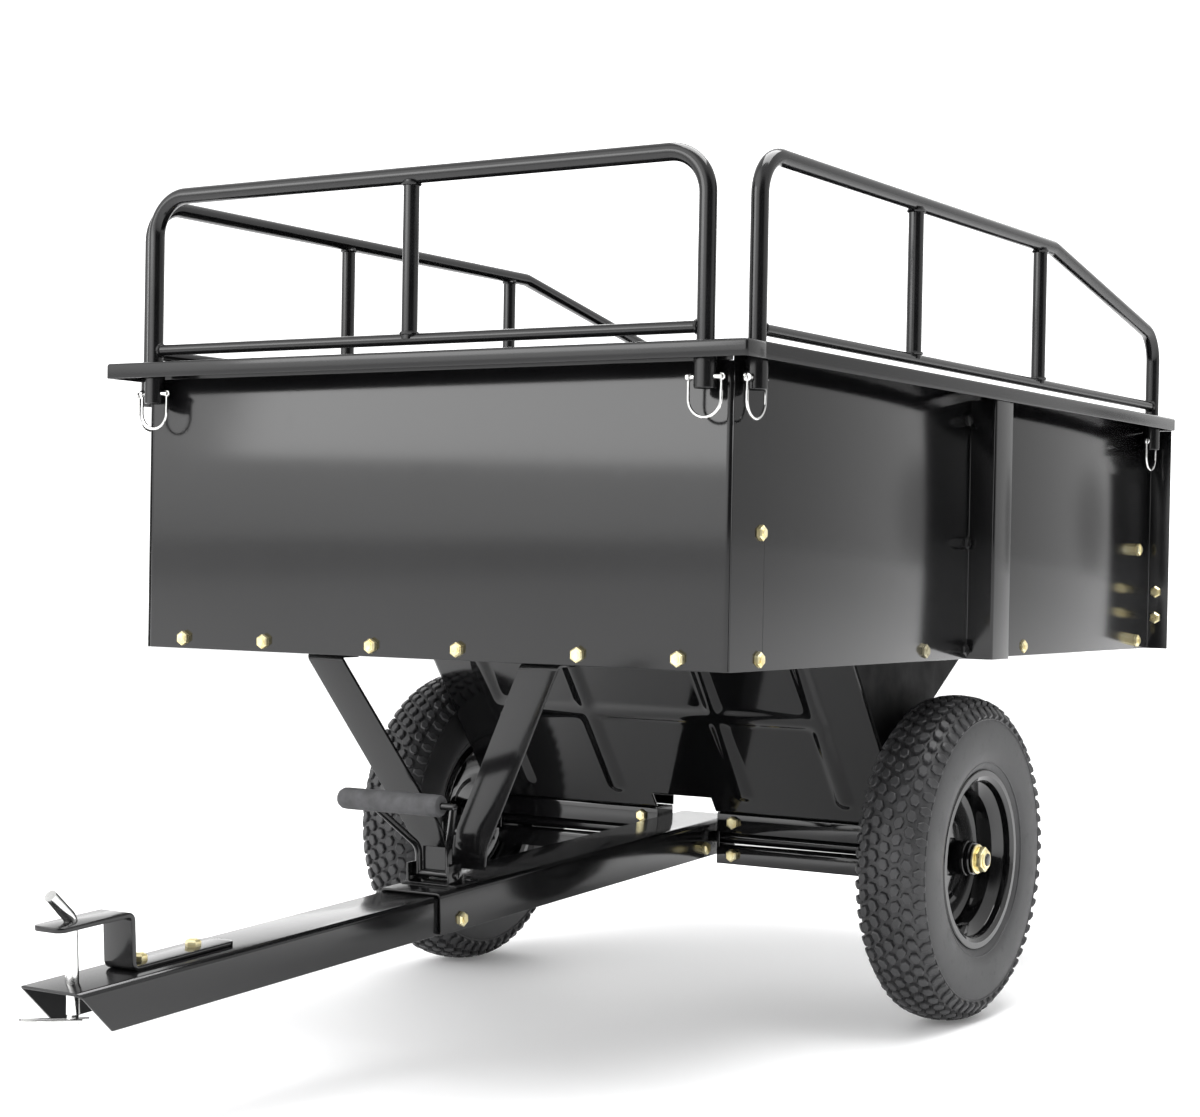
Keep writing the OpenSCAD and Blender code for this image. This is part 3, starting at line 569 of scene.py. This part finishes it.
def makeRails():
    a, b = lows["hoop_front"], highs["hoop_front"]
    r = rail["radius"]
    y = (a.y + b.y) / 2
    left, right, top, foot = a.x + r, b.x - r, b.z - r, a.z
    bm = bmesh.new()
    tubeAlong(bm, [(left, y, foot), (left, y, top), (right, y, top), (right, y, foot)], r, rail["bend"],
              rail["sides"], 14)
    makePiece("hoopFront", bm, "coatedTube", "bed", ["hoop_front"])
    barA, barB = lows["bars_front"], highs["bars_front"]
    lowZ = barA.z + rail["bar"]
    bm = bmesh.new()
    addRod(bm, (left + r * 0.6, y, lowZ), (right - r * 0.6, y, lowZ), rail["bar"], 20)
    addRod(bm, (0, y, lowZ), (0, y, top - r * 0.6), rail["post"], 22)
    for x, z, axis, radius in ((left + r, lowZ, (1, 0, 0), rail["bar"]), (right - r, lowZ, (1, 0, 0), rail["bar"]),
                               (0, top - r, (0, 0, 1), rail["post"]),
                               (0, lowZ + rail["bar"], (0, 0, 1), rail["post"])):
        addBeadRing(bm, (x, y, z), axis, radius)
    makePiece("barsFront", bm, "coatedTube", "bed", ["bars_front"])
    for name, side in (("left", 1), ("right", -1)):
        a, b = lows["hoop_" + name], highs["hoop_" + name]
        x = (a.x + b.x) / 2
        front, back = a.y + r, b.y - r
        kink = back - rail["slopeRun"]
        drop = rail["slopeRun"] * math.tan(math.radians(rail["slopeAngle"]))
        bm = bmesh.new()
        tubeAlong(bm, [(x, front, a.z), (x, front, top), (x, kink, top), (x, back, top - drop), (x, back, a.z)],
                  r, rail["bend"], rail["sides"], 14)
        makePiece("hoop" + name.title(), bm, "coatedTube", "bed", ["hoop_" + name])
        bm = bmesh.new()
        addRod(bm, (x, front + r * 0.6, lowZ), (x, back - r * 0.6, lowZ), rail["bar"], 20)
        for post in (front + rail["frontPost"], kink - rail["rearPost"]):
            addRod(bm, (x, post, lowZ), (x, post, top - r * 0.6), rail["post"], 22)
            addBeadRing(bm, (x, post, top - r), (0, 0, 1), rail["post"])
            addBeadRing(bm, (x, post, lowZ + rail["bar"]), (0, 0, 1), rail["post"])
        addBeadRing(bm, (x, front + r, lowZ), (0, 1, 0), rail["bar"])
        addBeadRing(bm, (x, back - r, lowZ), (0, 1, 0), rail["bar"])
        makePiece("bars" + name.title(), bm, "coatedTube", "bed", ["bars_" + name])


makeRails()
print("rails ready")


# ---- wheels ----

tyre = {
    "carcass": [(0.1095, 0.0360), (0.1140, 0.0385), (0.1220, 0.0425), (0.1350, 0.0445), (0.1520, 0.0450),
                (0.1680, 0.0443), (0.1800, 0.0415), (0.1890, 0.0345), (0.1950, 0.0220), (0.1972, 0.0080)],
    "around": 62, "stud": 0.0052,
    "rows": [(0.0, 0.0, 0.0088, 0.0072, 18), (0.0140, 0.5, 0.0092, 0.0070, -22), (0.0270, 0.0, 0.0090, 0.0070, 24)],
}


def crownAt(offset):
    # height and lean of the tread surface at an offset from the middle
    flat = [(abs(a), r) for r, a in tyre["carcass"]][::-1]
    flat = [(0.0, 0.1974)] + [pair for pair in flat if pair[1] > 0.16]
    for (a0, r0), (a1, r1) in zip(flat, flat[1:]):
        if a0 <= abs(offset) <= a1:
            share = (abs(offset) - a0) / (a1 - a0)
            return r0 + (r1 - r0) * share, math.atan2(r0 - r1, a1 - a0)
    return flat[-1][1], 1.2


def studMesh(sides, lengthWise, crossWise, height):
    bm = bmesh.new()
    made = bmesh.ops.create_cone(bm, cap_ends=True, segments=sides, radius1=1.0, radius2=0.86, depth=1.0)
    bmesh.ops.scale(bm, vec=(crossWise, lengthWise, height), verts=made["verts"])
    top = [e for e in bm.edges if all(v.co.z > 0 for v in e.verts)]
    roundEdges(bm, top, 0.0011, 1)
    bmesh.ops.delete(bm, geom=[f for f in bm.faces if all(v.co.z < 0 for v in f.verts)], context="FACES")
    mesh = bpy.data.meshes.new("studShape")
    bm.to_mesh(mesh)
    bm.free()
    return mesh


def makeTyre(name, side):
    centre = Vector((wheelMid.x * side, axleY, axleZ))
    profile = tyre["carcass"]
    ring = profile + [(r, -a) for r, a in profile[::-1]]
    bm = lathe(ring, centre, (1, 0, 0), 96)
    for radius, depth in ((0.1205, 0.0415), (0.1750, 0.0428)):
        for way in (1, -1):
            addBeadRing(bm, centre + Vector((depth * way, 0, 0)), (1, 0, 0), radius, 0.0011, 96)
    shapes = {}
    for offset, start, lengthWise, crossWise, twist in tyre["rows"]:
        for way in ((1, -1) if offset else (1,)):
            height, lean = crownAt(offset)
            mesh = shapes.setdefault(offset, studMesh(6, lengthWise, crossWise, tyre["stud"] * 2))
            for k in range(tyre["around"]):
                angle = 2 * math.pi * (k + start) / tyre["around"]
                addCopy(bm, mesh, centre, angle, offset * way, height + 0.0002, lean * way,
                        math.radians(twist) * way)
    fin = studMesh(6, 0.0070, 0.0100, tyre["stud"] * 1.7)
    for way in (1, -1):
        for k in range(tyre["around"]):
            angle = 2 * math.pi * (k + 0.5) / tyre["around"]
            height, lean = crownAt(0.0385)
            addCopy(bm, fin, centre, angle, 0.0382 * way, height - 0.0012, 0.86 * way, 0)
    makePiece("tyre" + name.title(), bm, "tyreRubber", "wheel_" + name, ["tyre_" + name], sharp=42)


def addCopy(bm, mesh, centre, angle, offset, height, lean, twist):
    before = len(bm.verts)
    bm.from_mesh(mesh)
    bm.verts.ensure_lookup_table()
    fresh = bm.verts[before:]
    place = (Matrix.Translation(centre) @ Matrix.Rotation(angle, 4, "X") @ Matrix.Translation((offset, 0, height))
             @ Matrix.Rotation(lean, 4, "Y") @ Matrix.Rotation(twist, 4, "Z"))
    bmesh.ops.transform(bm, matrix=place, verts=fresh)


rimWheel = {
    "barrel": [(0.1108, 0.0395), (0.1122, 0.0375), (0.1105, 0.0362), (0.1035, 0.0362), (0.1010, 0.0345),
               (0.0995, 0.0265), (0.0915, 0.0195), (0.0885, 0.0150), (0.0885, -0.0150), (0.0915, -0.0195),
               (0.0995, -0.0265), (0.1010, -0.0345), (0.1035, -0.0362), (0.1105, -0.0362), (0.1122, -0.0375),
               (0.1108, -0.0395), (0.1035, -0.0395), (0.0980, -0.0365), (0.0965, -0.0275), (0.0890, -0.0215),
               (0.0855, -0.0165), (0.0855, 0.0165), (0.0890, 0.0215), (0.0965, 0.0275), (0.0980, 0.0365),
               (0.1035, 0.0395)],
    "disc": [(0.0225, -0.0060), (0.0420, -0.0060), (0.0470, -0.0075), (0.0550, -0.0130), (0.0600, -0.0142),
             (0.0740, -0.0142), (0.0800, -0.0125), (0.0868, -0.0070), (0.0868, -0.0035), (0.0790, -0.0090),
             (0.0730, -0.0105), (0.0605, -0.0105), (0.0560, -0.0095), (0.0480, -0.0035), (0.0420, -0.0020),
             (0.0225, -0.0020)],
    "hub": [(0.0081, -0.0565), (0.0155, -0.0565), (0.0155, -0.0480), (0.0210, -0.0465), (0.0210, -0.0080),
            (0.0240, -0.0060), (0.0240, -0.0010), (0.0212, 0.0010), (0.0212, 0.0180), (0.0222, 0.0190),
            (0.0222, 0.0225), (0.0212, 0.0235), (0.0210, 0.0290), (0.0200, 0.0305), (0.0150, 0.0310),
            (0.0150, 0.0325), (0.0081, 0.0325)],
}


def makeWheel(name, side):
    centre = Vector((wheelMid.x * side, axleY, axleZ))
    axis = (side, 0, 0)
    bm = lathe(rimWheel["barrel"], centre, axis, 96)
    disc = lathe(rimWheel["disc"], centre, axis, 96)
    joinShape(bm, disc)
    makePiece("rimWheel" + name.title(), bm, "glossEnamel", "wheel_" + name, ["rim_wheel_" + name], sharp=28,
              soften=0.0006)
    bm = lathe(rimWheel["hub"], centre, axis, 48)
    makePiece("hub" + name.title(), bm, "glossEnamel", "wheel_" + name, ["hub_" + name], sharp=28)
    makeTyre(name, side)


for wheelName, wheelSide in (("left", 1), ("right", -1)):
    makeWheel(wheelName, wheelSide)
print("wheels ready")


# ---- bolts ----

half = highs["side_front_left"].x
frontY, rearY = lows["front_panel"].y, highs["floor_rear"].y
bedZ, rimZ = lows["front_panel"].z, highs["rim_left"].z
boltZ = bedZ + 0.012
skin = highs["front_panel"].x - half

bolts = {"across": 0.0148, "head": 0.0062}


def makeBedBolts():
    bm = bmesh.new()
    for share in (0.15, 0.545, 0.855):
        for side in (1, -1):
            x = half * share * side
            addBolt(bm, (x, frontY, boltZ), (0, -1, 0), bolts["across"], bolts["head"])
            addNut(bm, (x, frontY + skin * 2 + 0.0002, boltZ), (0, 1, 0), bolts["across"], 0.003)
    makePiece("frontPanelBolts", bm, "yellowZinc", "bed", ["front_bolts"])
    rows = [(frontY + 0.061, 0, skin, True), (frontY + 0.061, 0.132, skin, False),
            (axleY + 0.151, 0, 0, True), (rearY - 0.050, 0, skin, True), (rearY - 0.050, 0.132, skin, False)]
    postRows = [(axleY - 0.041, 0, skin, True), (axleY - 0.041, 0.131, skin, False),
                (axleY - 0.041, 0.283, skin, False)]
    bm = sideBolts(rows)
    for side in (1, -1):
        for up in (0.033, 0.071):
            place = flip((half + 0.014, rearY, boltZ + up), side)
            addBolt(bm, place, (0, -1, 0), bolts["across"], bolts["head"])
            addNut(bm, place + Vector((0, skin * 2, 0)), (0, 1, 0), bolts["across"], 0.003)
    makePiece("sidePanelBolts", bm, "yellowZinc", "bed", ["side_bolts"])
    makePiece("dullSideBolts", sideBolts([(axleY - 0.151, 0, 0, True)]), "dullZinc", "bed")
    makePiece("postBolts", sideBolts(postRows), "blackBolt", "bed")


def sideBolts(rows):
    bm = bmesh.new()
    for side in (1, -1):
        for y, up, outer, curb in rows:
            addBolt(bm, flip((half + outer, y, boltZ + up), side), (side, 0, 0), bolts["across"], bolts["head"])
            inner = half - skin * (2 if curb else 1) - 0.0002
            addNut(bm, flip((inner, y, boltZ + up), side), (-side, 0, 0), bolts["across"], 0.003)
    return bm


makeBedBolts()


# ---- sockets and lock pins ----

lockPins = {"pin": 0.003, "wire": 0.0016, "drop": 0.022, "reach": 0.0193}


def legPlaces():
    front = (lows["lock_front_left"] + highs["lock_front_left"]) / 2
    places = {}
    for side, name in ((1, "left"), (-1, "right")):
        places["front_" + name] = (Vector((front.x * side, front.y, 0)), Vector((1, 0, 0)))
        for end in ("front", "rear"):
            node = "lock_%s_%s" % (name, end)
            middle = (lows[node] + highs[node]) / 2
            places["%s_%s" % (name, end)] = (Vector((middle.x, middle.y, 0)), Vector((0, 1, 0)))
    return places


def makeSockets():
    bm = bmesh.new()
    low, high = lows["rail_sockets"].z, highs["rail_sockets"].z
    for place, along in legPlaces().values():
        wall = [(0.0099, low), (0.0112, low), (0.0119, low + 0.0008), (0.0119, high), (0.0099, high)]
        turned = lathe(wall, place, (0, 0, 1), 28)
        joinShape(bm, turned)
        addBeadRing(bm, place + Vector((0, 0, high - 0.0012)), (0, 0, 1), 0.0121, 0.0016, 24)
    makePiece("railSockets", bm, "coatedTube", "bed", ["rail_sockets"])


def makeLockPin(name, place, along):
    kit = lockPins
    node = "lock_" + name
    centre = Vector((place.x, place.y, rimZ - 0.036))
    bm = bmesh.new()
    addRod(bm, centre - along * 0.0172, centre + along * 0.0205, kit["pin"], 18, 0.0005)
    addRod(bm, centre - along * 0.0208, centre - along * 0.0172, kit["pin"] + 0.0016, 18, 0.0006)
    reach, drop = kit["reach"], kit["drop"]
    out, down = along * reach, Vector((0, 0, drop + reach))
    tubeAlong(bm, [centre - out + Vector((0, 0, 0.0012)), centre - out - down, centre + out - down, centre + out],
              kit["wire"], reach * 0.995, 10, 12)
    across = along.cross(Vector((0, 0, 1)))
    for step in (-1, 1):
        addBeadRing(bm, centre + along * reach * step, across, 0.0030, 0.00125, 18)
    makePiece("lockPin" + "".join(word.title() for word in name.split("_")), bm, "brightZinc", node, [node])


makeSockets()
for legName, (legPlace, legAlong) in legPlaces().items():
    makeLockPin(legName, legPlace, legAlong)
print("bolts and lock pins ready")


# ---- pedestal ----

pedestal = {"wall": 0.002, "rib": 0.0040, "ribHalf": 0.0085, "ribFade": 0.0075, "grid": 0.0026}


def ribHeight(x, up, kit, slant):
    # how far the pressed pattern stands out at a place on the plate
    across = highs["pedestal_front"].x
    inner, outer = across * 0.305, across * 0.765
    strokes = [((side * at, slant * 0.14), (side * at, slant * 0.99)) for at in (inner, outer) for side in (1, -1)]
    strokes.append(((-outer, slant * 0.62), (outer, slant * 0.62)))
    blend, total = 0.012, 0.0
    for (x0, u0), (x1, u1) in strokes:
        share = ((x - x0) * (x1 - x0) + (up - u0) * (u1 - u0)) / ((x1 - x0) ** 2 + (u1 - u0) ** 2)
        share = min(1.0, max(0.0, share))
        apart = math.hypot(x - x0 - share * (x1 - x0), up - u0 - share * (u1 - u0))
        total += math.exp(-apart / blend * 3)
    apart = -blend / 3 * math.log(max(total, 1e-9))
    share = min(1.0, max(0.0, (kit["ribHalf"] + kit["ribFade"] - apart) / (2 * kit["ribFade"])))
    return kit["rib"] * share * share * (3 - 2 * share)


def makePedestal(kit):
    low, high = lows["pedestal_front"], highs["pedestal_front"]
    foot = lows["pedestal_rear"].z
    front = axleY - 0.020
    lean, rise = front - low.y - 0.024, high.z - foot
    slant = math.hypot(lean, rise)
    slope0 = math.atan2(lean, rise)
    bm = bmesh.new()
    wide = high.x
    bmesh.ops.create_grid(bm, x_segments=round(2 * wide / kit["grid"]), y_segments=round(slant / kit["grid"]),
                          size=1)
    bmesh.ops.scale(bm, vec=(wide, slant / 2 - 0.001, 1), verts=bm.verts)
    bmesh.ops.translate(bm, vec=(0, slant / 2 + 0.001, 0), verts=bm.verts)
    gone = [face for face in bm.faces if abs(face.calc_center_median().x) < 0.046
            and face.calc_center_median().y < 0.026]
    bmesh.ops.delete(bm, geom=gone, context="FACES")
    for vert in bm.verts:
        vert.co.z += ribHeight(vert.co.x, vert.co.y, kit, slant)
    stand = Matrix.Translation((0, front, foot)) @ Matrix.Rotation(slope0 + math.pi / 2, 4, "X")
    bmesh.ops.transform(bm, matrix=stand, verts=bm.verts)
    strip = foldedStrip([(-wide, low.y + 0.026, high.z - 0.0002), (-wide, low.y, high.z - 0.0002)],
                        (2 * wide, 0, 0), 0)
    joinShape(bm, strip)
    bmesh.ops.recalc_face_normals(bm, faces=bm.faces)
    makePiece("pedestalFront", bm, "glossEnamel", "bed", ["pedestal_front"], kit["wall"], sharp=50)
    a, b = lows["pedestal_rear"], highs["pedestal_rear"]
    back = axleY + 0.020
    points = [(-b.x, back, a.z), (-b.x, back, b.z), (-b.x, b.y, b.z)]
    bm = foldedStrip(points, (2 * b.x, 0, 0), 0.004)
    for place, normal in (((-0.046, 0, 0), (1, 0, 0)), ((0.046, 0, 0), (1, 0, 0)),
                          ((0, 0, foot + 0.026), (0, 0, 1))):
        bmesh.ops.bisect_plane(bm, geom=list(bm.verts) + list(bm.edges) + list(bm.faces), plane_co=place,
                               plane_no=normal)
    gone = [face for face in bm.faces if abs(face.calc_center_median().x) < 0.046
            and face.calc_center_median().z < foot + 0.026]
    bmesh.ops.delete(bm, geom=gone, context="FACES")
    makePiece("pedestalRear", bm, "glossEnamel", "bed", ["pedestal_rear"], kit["wall"], wallSide=-1, soften=0.0004)
    for name, side in (("left", 1), ("right", -1)):
        makeSaddle(name, side)


def makeSaddle(name, side):
    # two channels, one above and one below the axle, with end plates
    node = "saddle_" + name
    a, b = lows[node], highs[node]
    x0, x1 = (a.x, b.x)
    bm = foldedBox((x0, a.y, axleZ + 0.0085), (x1, b.y, b.z), ("-z", "-x", "+x"), 0.004)
    low = foldedBox((x0, a.y, a.z), (x1, b.y, axleZ - 0.0085), ("-z", "-x", "+x"), 0.004)
    joinShape(bm, low)
    makePiece("saddle" + name.title(), bm, "glossEnamel", "bed", [node], 0.003, soften=0.0005)
    bm = bmesh.new()
    for x in (x0, x1 - 0.004):
        made = bmesh.ops.create_cube(bm, size=1)["verts"]
        bmesh.ops.scale(bm, vec=(0.004, b.y - a.y - 0.0005, b.z - a.z - 0.0005), verts=made)
        bmesh.ops.translate(bm, vec=(x + 0.002, (a.y + b.y) / 2, (a.z + b.z) / 2), verts=made)
    makePiece("saddleEnds" + name.title(), bm, "glossEnamel", "bed", soften=0.0007)


def makeSaddleBolts():
    bm = bmesh.new()
    face = lows["saddle_left"].y
    x = lows["saddle_left"].x + 0.024
    for side in (1, -1):
        for z in (axleZ - 0.021, axleZ + 0.022):
            addBolt(bm, (x * side, face, z), (0, -1, 0), bolts["across"], bolts["head"])
            addNut(bm, (x * side, face + 0.003, z), (0, 1, 0), bolts["across"], 0.003)
    makePiece("saddleBolts", bm, "yellowZinc", "bed", ["saddle_bolts"])


makePedestal(pedestal)
makeSaddleBolts()


# ---- braces ----

brace = {"wide": 0.044, "wall": 0.004, "footX": 0.022, "footRise": 0.031, "footBack": 0.077,
         "headShare": 0.19, "headBack": 0.027, "flange": 0.032, "fold": 0.006, "soft": 0.0006}


def makeBraces():
    top = bedZ - 0.0002
    for name, side in (("left", 1), ("right", -1)):
        node = "brace_" + name
        x0, z0, y0 = brace["footX"], axleZ + brace["footRise"], frontY + brace["footBack"]
        x1, y1 = half * 2 * brace["headShare"], frontY + brace["headBack"]
        start, end = Vector((x0, y0, z0)), Vector((x1, y1, top))
        along = (end - start).normalized()
        across = Vector((1, 0, 0)) - along * along.x
        across = across.normalized() * brace["wide"] / 2
        bm = bmesh.new()
        lower = start + along * 0.016
        edge = [bm.verts.new(lower - across), bm.verts.new(lower + across)]
        first = bm.edges.new(edge)
        made = bmesh.ops.extrude_edge_only(bm, edges=[first])["geom"]
        verts = [item for item in made if isinstance(item, bmesh.types.BMVert)]
        bmesh.ops.translate(bm, vec=end - lower, verts=verts)
        for vert in verts:
            vert.co += along * ((top - 0.002 - vert.co.z) / along.z)
        last = [item for item in made if isinstance(item, bmesh.types.BMEdge)]
        last = [item for item in last if all(vert in verts for vert in item.verts)]
        made = bmesh.ops.extrude_edge_only(bm, edges=last)["geom"]
        verts = [item for item in made if isinstance(item, bmesh.types.BMVert)]
        bmesh.ops.translate(bm, vec=(0, brace["flange"], 0), verts=verts)
        made = bmesh.ops.extrude_edge_only(bm, edges=[first])["geom"]
        verts = [item for item in made if isinstance(item, bmesh.types.BMVert)]
        bmesh.ops.translate(bm, vec=(-0.004, 0.004, -0.020), verts=verts)
        roundEdges(bm, [e for e in bm.edges if len(e.link_faces) == 2], brace["fold"], 5)
        if side < 0:
            bmesh.ops.mirror(bm, geom=list(bm.verts) + list(bm.edges) + list(bm.faces), axis="X", merge_dist=-1)
            kept = [face for face in bm.faces if face.calc_center_median().x > 0]
            bmesh.ops.delete(bm, geom=kept, context="FACES")
        bmesh.ops.recalc_face_normals(bm, faces=bm.faces)
        makePiece("brace" + name.title(), bm, "coatedSteel", "bed", [node], brace["wall"], wallSide=0,
                  soften=brace["soft"])


makeBraces()
print("pedestal and braces ready")


# ---- drawbar ----

drawbar = {"wall": 0.003, "fold": 0.006, "soft": 0.0007, "nose": 44, "deck": 0.0215, "reach": 1.168,
           "backEnd": -0.540, "sleeveFront": -0.625, "sleeveBack": 0.034, "boltZ": -0.009, "boltAcross": 0.0145}


def fromLocal(bm):
    bmesh.ops.transform(bm, matrix=atAxle, verts=bm.verts)
    return bm


def makeDrawbar(kit):
    deck, reach, wide = kit["deck"], kit["reach"], highs["drawbar"].x
    bm = foldedBox((-wide, -reach, -deck), (wide, kit["backEnd"], deck), ("-z", "-y", "+y"), kit["fold"], 5)
    cut = Matrix.Rotation(math.radians(kit["nose"]), 3, "X") @ Vector((0, 1, 0))
    bmesh.ops.bisect_plane(bm, geom=list(bm.verts) + list(bm.edges) + list(bm.faces), dist=1e-6,
                           plane_co=(0, -reach, deck), plane_no=-cut, clear_outer=True)
    # the inner walls of the drawbar and its sleeve take the near-black inside finish as painted shade
    makePiece("drawbar", fromLocal(bm), "coatedSteel", "drawbar", ["drawbar"], kit["wall"], soften=kit["soft"],
              inside="paintedShadeInside")
    wide = highs["drawbar_sleeve"].x
    top = deck + 0.0034
    bm = foldedBox((-wide, kit["sleeveFront"], -deck), (wide, kit["sleeveBack"], top), ("-z", "-y", "+y"),
                   kit["fold"], 5)
    makePiece("drawbarSleeve", fromLocal(bm), "coatedSteel", "drawbar", ["drawbar_sleeve"], kit["wall"],
              soften=kit["soft"], inside="paintedShadeInside")
    middle = deck + 0.0001 + 0.0025
    plate = middle + 0.053
    points = [(-0.019, -0.933, middle), (-0.019, -1.0755, middle), (-0.019, -1.0755, plate),
              (-0.019, -1.170, plate)]
    bm = foldedStrip(points, (0.038, 0, 0), 0.0065, 6)
    ends = [v for v in bm.verts if len(v.link_edges) == 2 and (v.co.y < -1.169 or v.co.y > -0.934)]
    bmesh.ops.bevel(bm, geom=ends, offset=0.009, segments=5, affect="VERTICES", profile=0.5, material=-1)
    makePiece("hitchStrap", fromLocal(bm), "coatedSteel", "drawbar", ["hitch_strap"], 0.005, wallSide=0,
              soften=0.0008)
    bm = bmesh.new()
    for y in (-1.050, -0.975):
        addBolt(bm, (0, y, deck + 0.0051), (0, 0, 1), 0.014, 0.0068)
        addNut(bm, (0, y, deck - 0.003), (0, 0, -1), 0.014)
    for y in (-0.588, -0.046):
        addBolt(bm, (wide, y, kit["boltZ"]), (1, 0, 0), kit["boltAcross"], 0.0062)
        addNut(bm, (-wide, y, kit["boltZ"]), (-1, 0, 0), kit["boltAcross"])
        addRod(bm, (-wide, y, kit["boltZ"]), (wide, y, kit["boltZ"]), 0.004, 14)
    makePiece("drawbarBolts", fromLocal(bm), "yellowZinc", "drawbar", ["drawbar_bolts"])


makeDrawbar(drawbar)


hitch = {"pin": 0.00635, "tip": 0.00565, "wire": 0.0015, "turn": 35, "reach": 1.138, "strapRise": 0.048}


def makeHitchPin(kit):
    place = Vector((0, -kit["reach"], 0))
    top = drawbar["deck"] + 0.0051 + kit["strapRise"]
    bm = bmesh.new()
    tubeAlong(bm, [place + Vector((0, 0, -0.007)), place + Vector((0, 0, top + 0.003 + 0.00497)),
                   place + Vector((0, -0.02465, top + 0.003 + 0.0297))], kit["pin"], 0.012, 24, 14)
    addRod(bm, place + Vector((0, 0, -0.018)), place + Vector((0, 0, -0.0069)), kit["tip"], 24, 0.0015)
    addRod(bm, place + Vector((0, 0, top + 0.0001)), place + Vector((0, 0, top + 0.003)), kit["pin"] + 0.003, 28,
           0.0007)
    makePiece("hitchPin", fromLocal(bm), "brightZinc", "hitch_pin", ["hitch_pin"])
    gap = kit["pin"] + 0.0014
    turned = Matrix.Translation(place + Vector((0, 0, -0.012))) @ Matrix.Rotation(math.radians(kit["turn"]), 4, "Z")
    bm = bmesh.new()
    tubeAlong(bm, [(0.015, 0, 0), (-0.046 - gap / 2, 0, 0), (-0.046 - gap / 2, -gap, 0), (0.010, -gap, 0)],
              kit["wire"], gap / 2 * 0.998, 12, 10)
    bmesh.ops.transform(bm, matrix=turned, verts=bm.verts)
    makePiece("hitchClip", fromLocal(bm), "brightZinc", "hitch_clip", ["hitch_clip"])


makeHitchPin(hitch)
print("drawbar and hitch ready")


# ---- tilt latch ----

latch = {"wire": 0.0042, "pivotY": -0.580, "arms": ((0.021, 0.0795), (-0.021, -0.038)), "gripAt": (-0.069, 0.090),
         "rod": 0.0040, "bend": 0.020}


def makeLatch(kit):
    pivot = Vector((0, kit["pivotY"], drawbar["deck"] + 0.0033 + 0.0121))
    base = drawbar["deck"] + 0.0034
    points = [(-0.0285, -0.592, base + 0.024), (-0.0285, -0.592, base + 0.0015), (0.0285, -0.592, base + 0.0015),
              (0.0285, -0.592, base + 0.024)]
    bm = foldedStrip(points, (0, 0.024, 0), 0.004, 5)
    makePiece("latchStandEars", fromLocal(bm), "coatedSteel", "drawbar", ["latch_stand"], 0.003, wallSide=0,
              soften=0.0006)
    bm = bmesh.new()
    made = bmesh.ops.create_cube(bm, size=1)["verts"]
    bmesh.ops.scale(bm, vec=(0.076, 0.046, 0.003), verts=made)
    bmesh.ops.translate(bm, vec=(0, -0.569, base + 0.0015), verts=made)
    for x in (-0.031, 0.031):
        addBolt(bm, (x, -0.558, base + 0.003), (0, 0, 1), 0.0105, 0.0042)
    makePiece("latchStandPlate", fromLocal(bm), "coatedSteel", "drawbar", soften=0.0006)
    bm = bmesh.new()
    for x, end in kit["arms"]:
        tubeAlong(bm, [pivot + Vector((x, 0, -0.001)), pivot + Vector((x, 0, 0.030)),
                       pivot + Vector((end, *kit["gripAt"]))], kit["wire"], kit["bend"], 16, 12)
    addBeadRing(bm, pivot + Vector((0.079, -0.0685, 0.0895)), (0, 0, 1), 0.0022, 0.0020, 16)
    addRod(bm, pivot + Vector((-0.034, 0, 0)), pivot + Vector((0.034, 0, 0)), kit["rod"], 16, 0.0008)
    addRod(bm, pivot + Vector((-0.070, *kit["gripAt"])), pivot + Vector((0.0815, *kit["gripAt"])), kit["rod"], 16,
           0.0008)
    made = bmesh.ops.create_cube(bm, size=1)["verts"]
    bmesh.ops.scale(bm, vec=(0.034, 0.003, 0.033), verts=made)
    bmesh.ops.translate(bm, vec=pivot + Vector((0, 0.0045, 0.0135)), verts=made)
    makePiece("latchHandle", fromLocal(bm), "coatedTube", "latch", ["latch_handle"], sharp=40)
    wall = [(0.0042, -0.0700), (0.0, -0.0760), (0.0052, -0.0760), (0.0094, -0.0742), (0.0118, -0.0700),
            (0.0122, -0.0640), (0.0121, 0.0480), (0.0124, 0.0490), (0.0124, 0.0530), (0.0121, 0.0540),
            (0.0121, 0.0600), (0.0112, 0.0628), (0.0085, 0.0640), (0.0042, 0.0640)]
    bm = lathe(wall, pivot + Vector((0, *kit["gripAt"])), (1, 0, 0), 36)
    makePiece("latchGrip", fromLocal(bm), "foamRubber", "latch", ["latch_grip"], sharp=40)


makeLatch(latch)


# ---- axle ----

axleEnds = {"faceX": 0.4075, "washer": 0.0185, "nut": 0.0158, "collar": 0.0118, "rod": 0.008}


def makeAxleEnds():
    bm = bmesh.new()
    for side in (1, -1):
        centre = Vector((0, axleY, axleZ))
        start = centre + Vector((axleEnds["faceX"] * side, 0, 0))
        outward = Vector((side, 0, 0))
        addRod(bm, start, start + outward * 0.0025, axleEnds["washer"], 36, 0.0006)
        addRod(bm, start + outward * 0.0025, start + outward * 0.0125, axleEnds["nut"], 6, 0.0012)
        addRod(bm, start + outward * 0.0120, start + outward * 0.0143, axleEnds["collar"], 24, 0.0008)
    makePiece("axleNuts", bm, "yellowZinc", "drawbar", ["axle_nuts"], soften=0.0004)
    bm = bmesh.new()
    end = highs["axle"].x
    centre = Vector((0, axleY, axleZ))
    addRod(bm, centre - Vector((end, 0, 0)), centre + Vector((end, 0, 0)), axleEnds["rod"], 28, 0.0015)
    makePiece("axleRod", bm, "coatedSteel", "drawbar", ["axle"])


makeAxleEnds()
print("latch and axle ready")
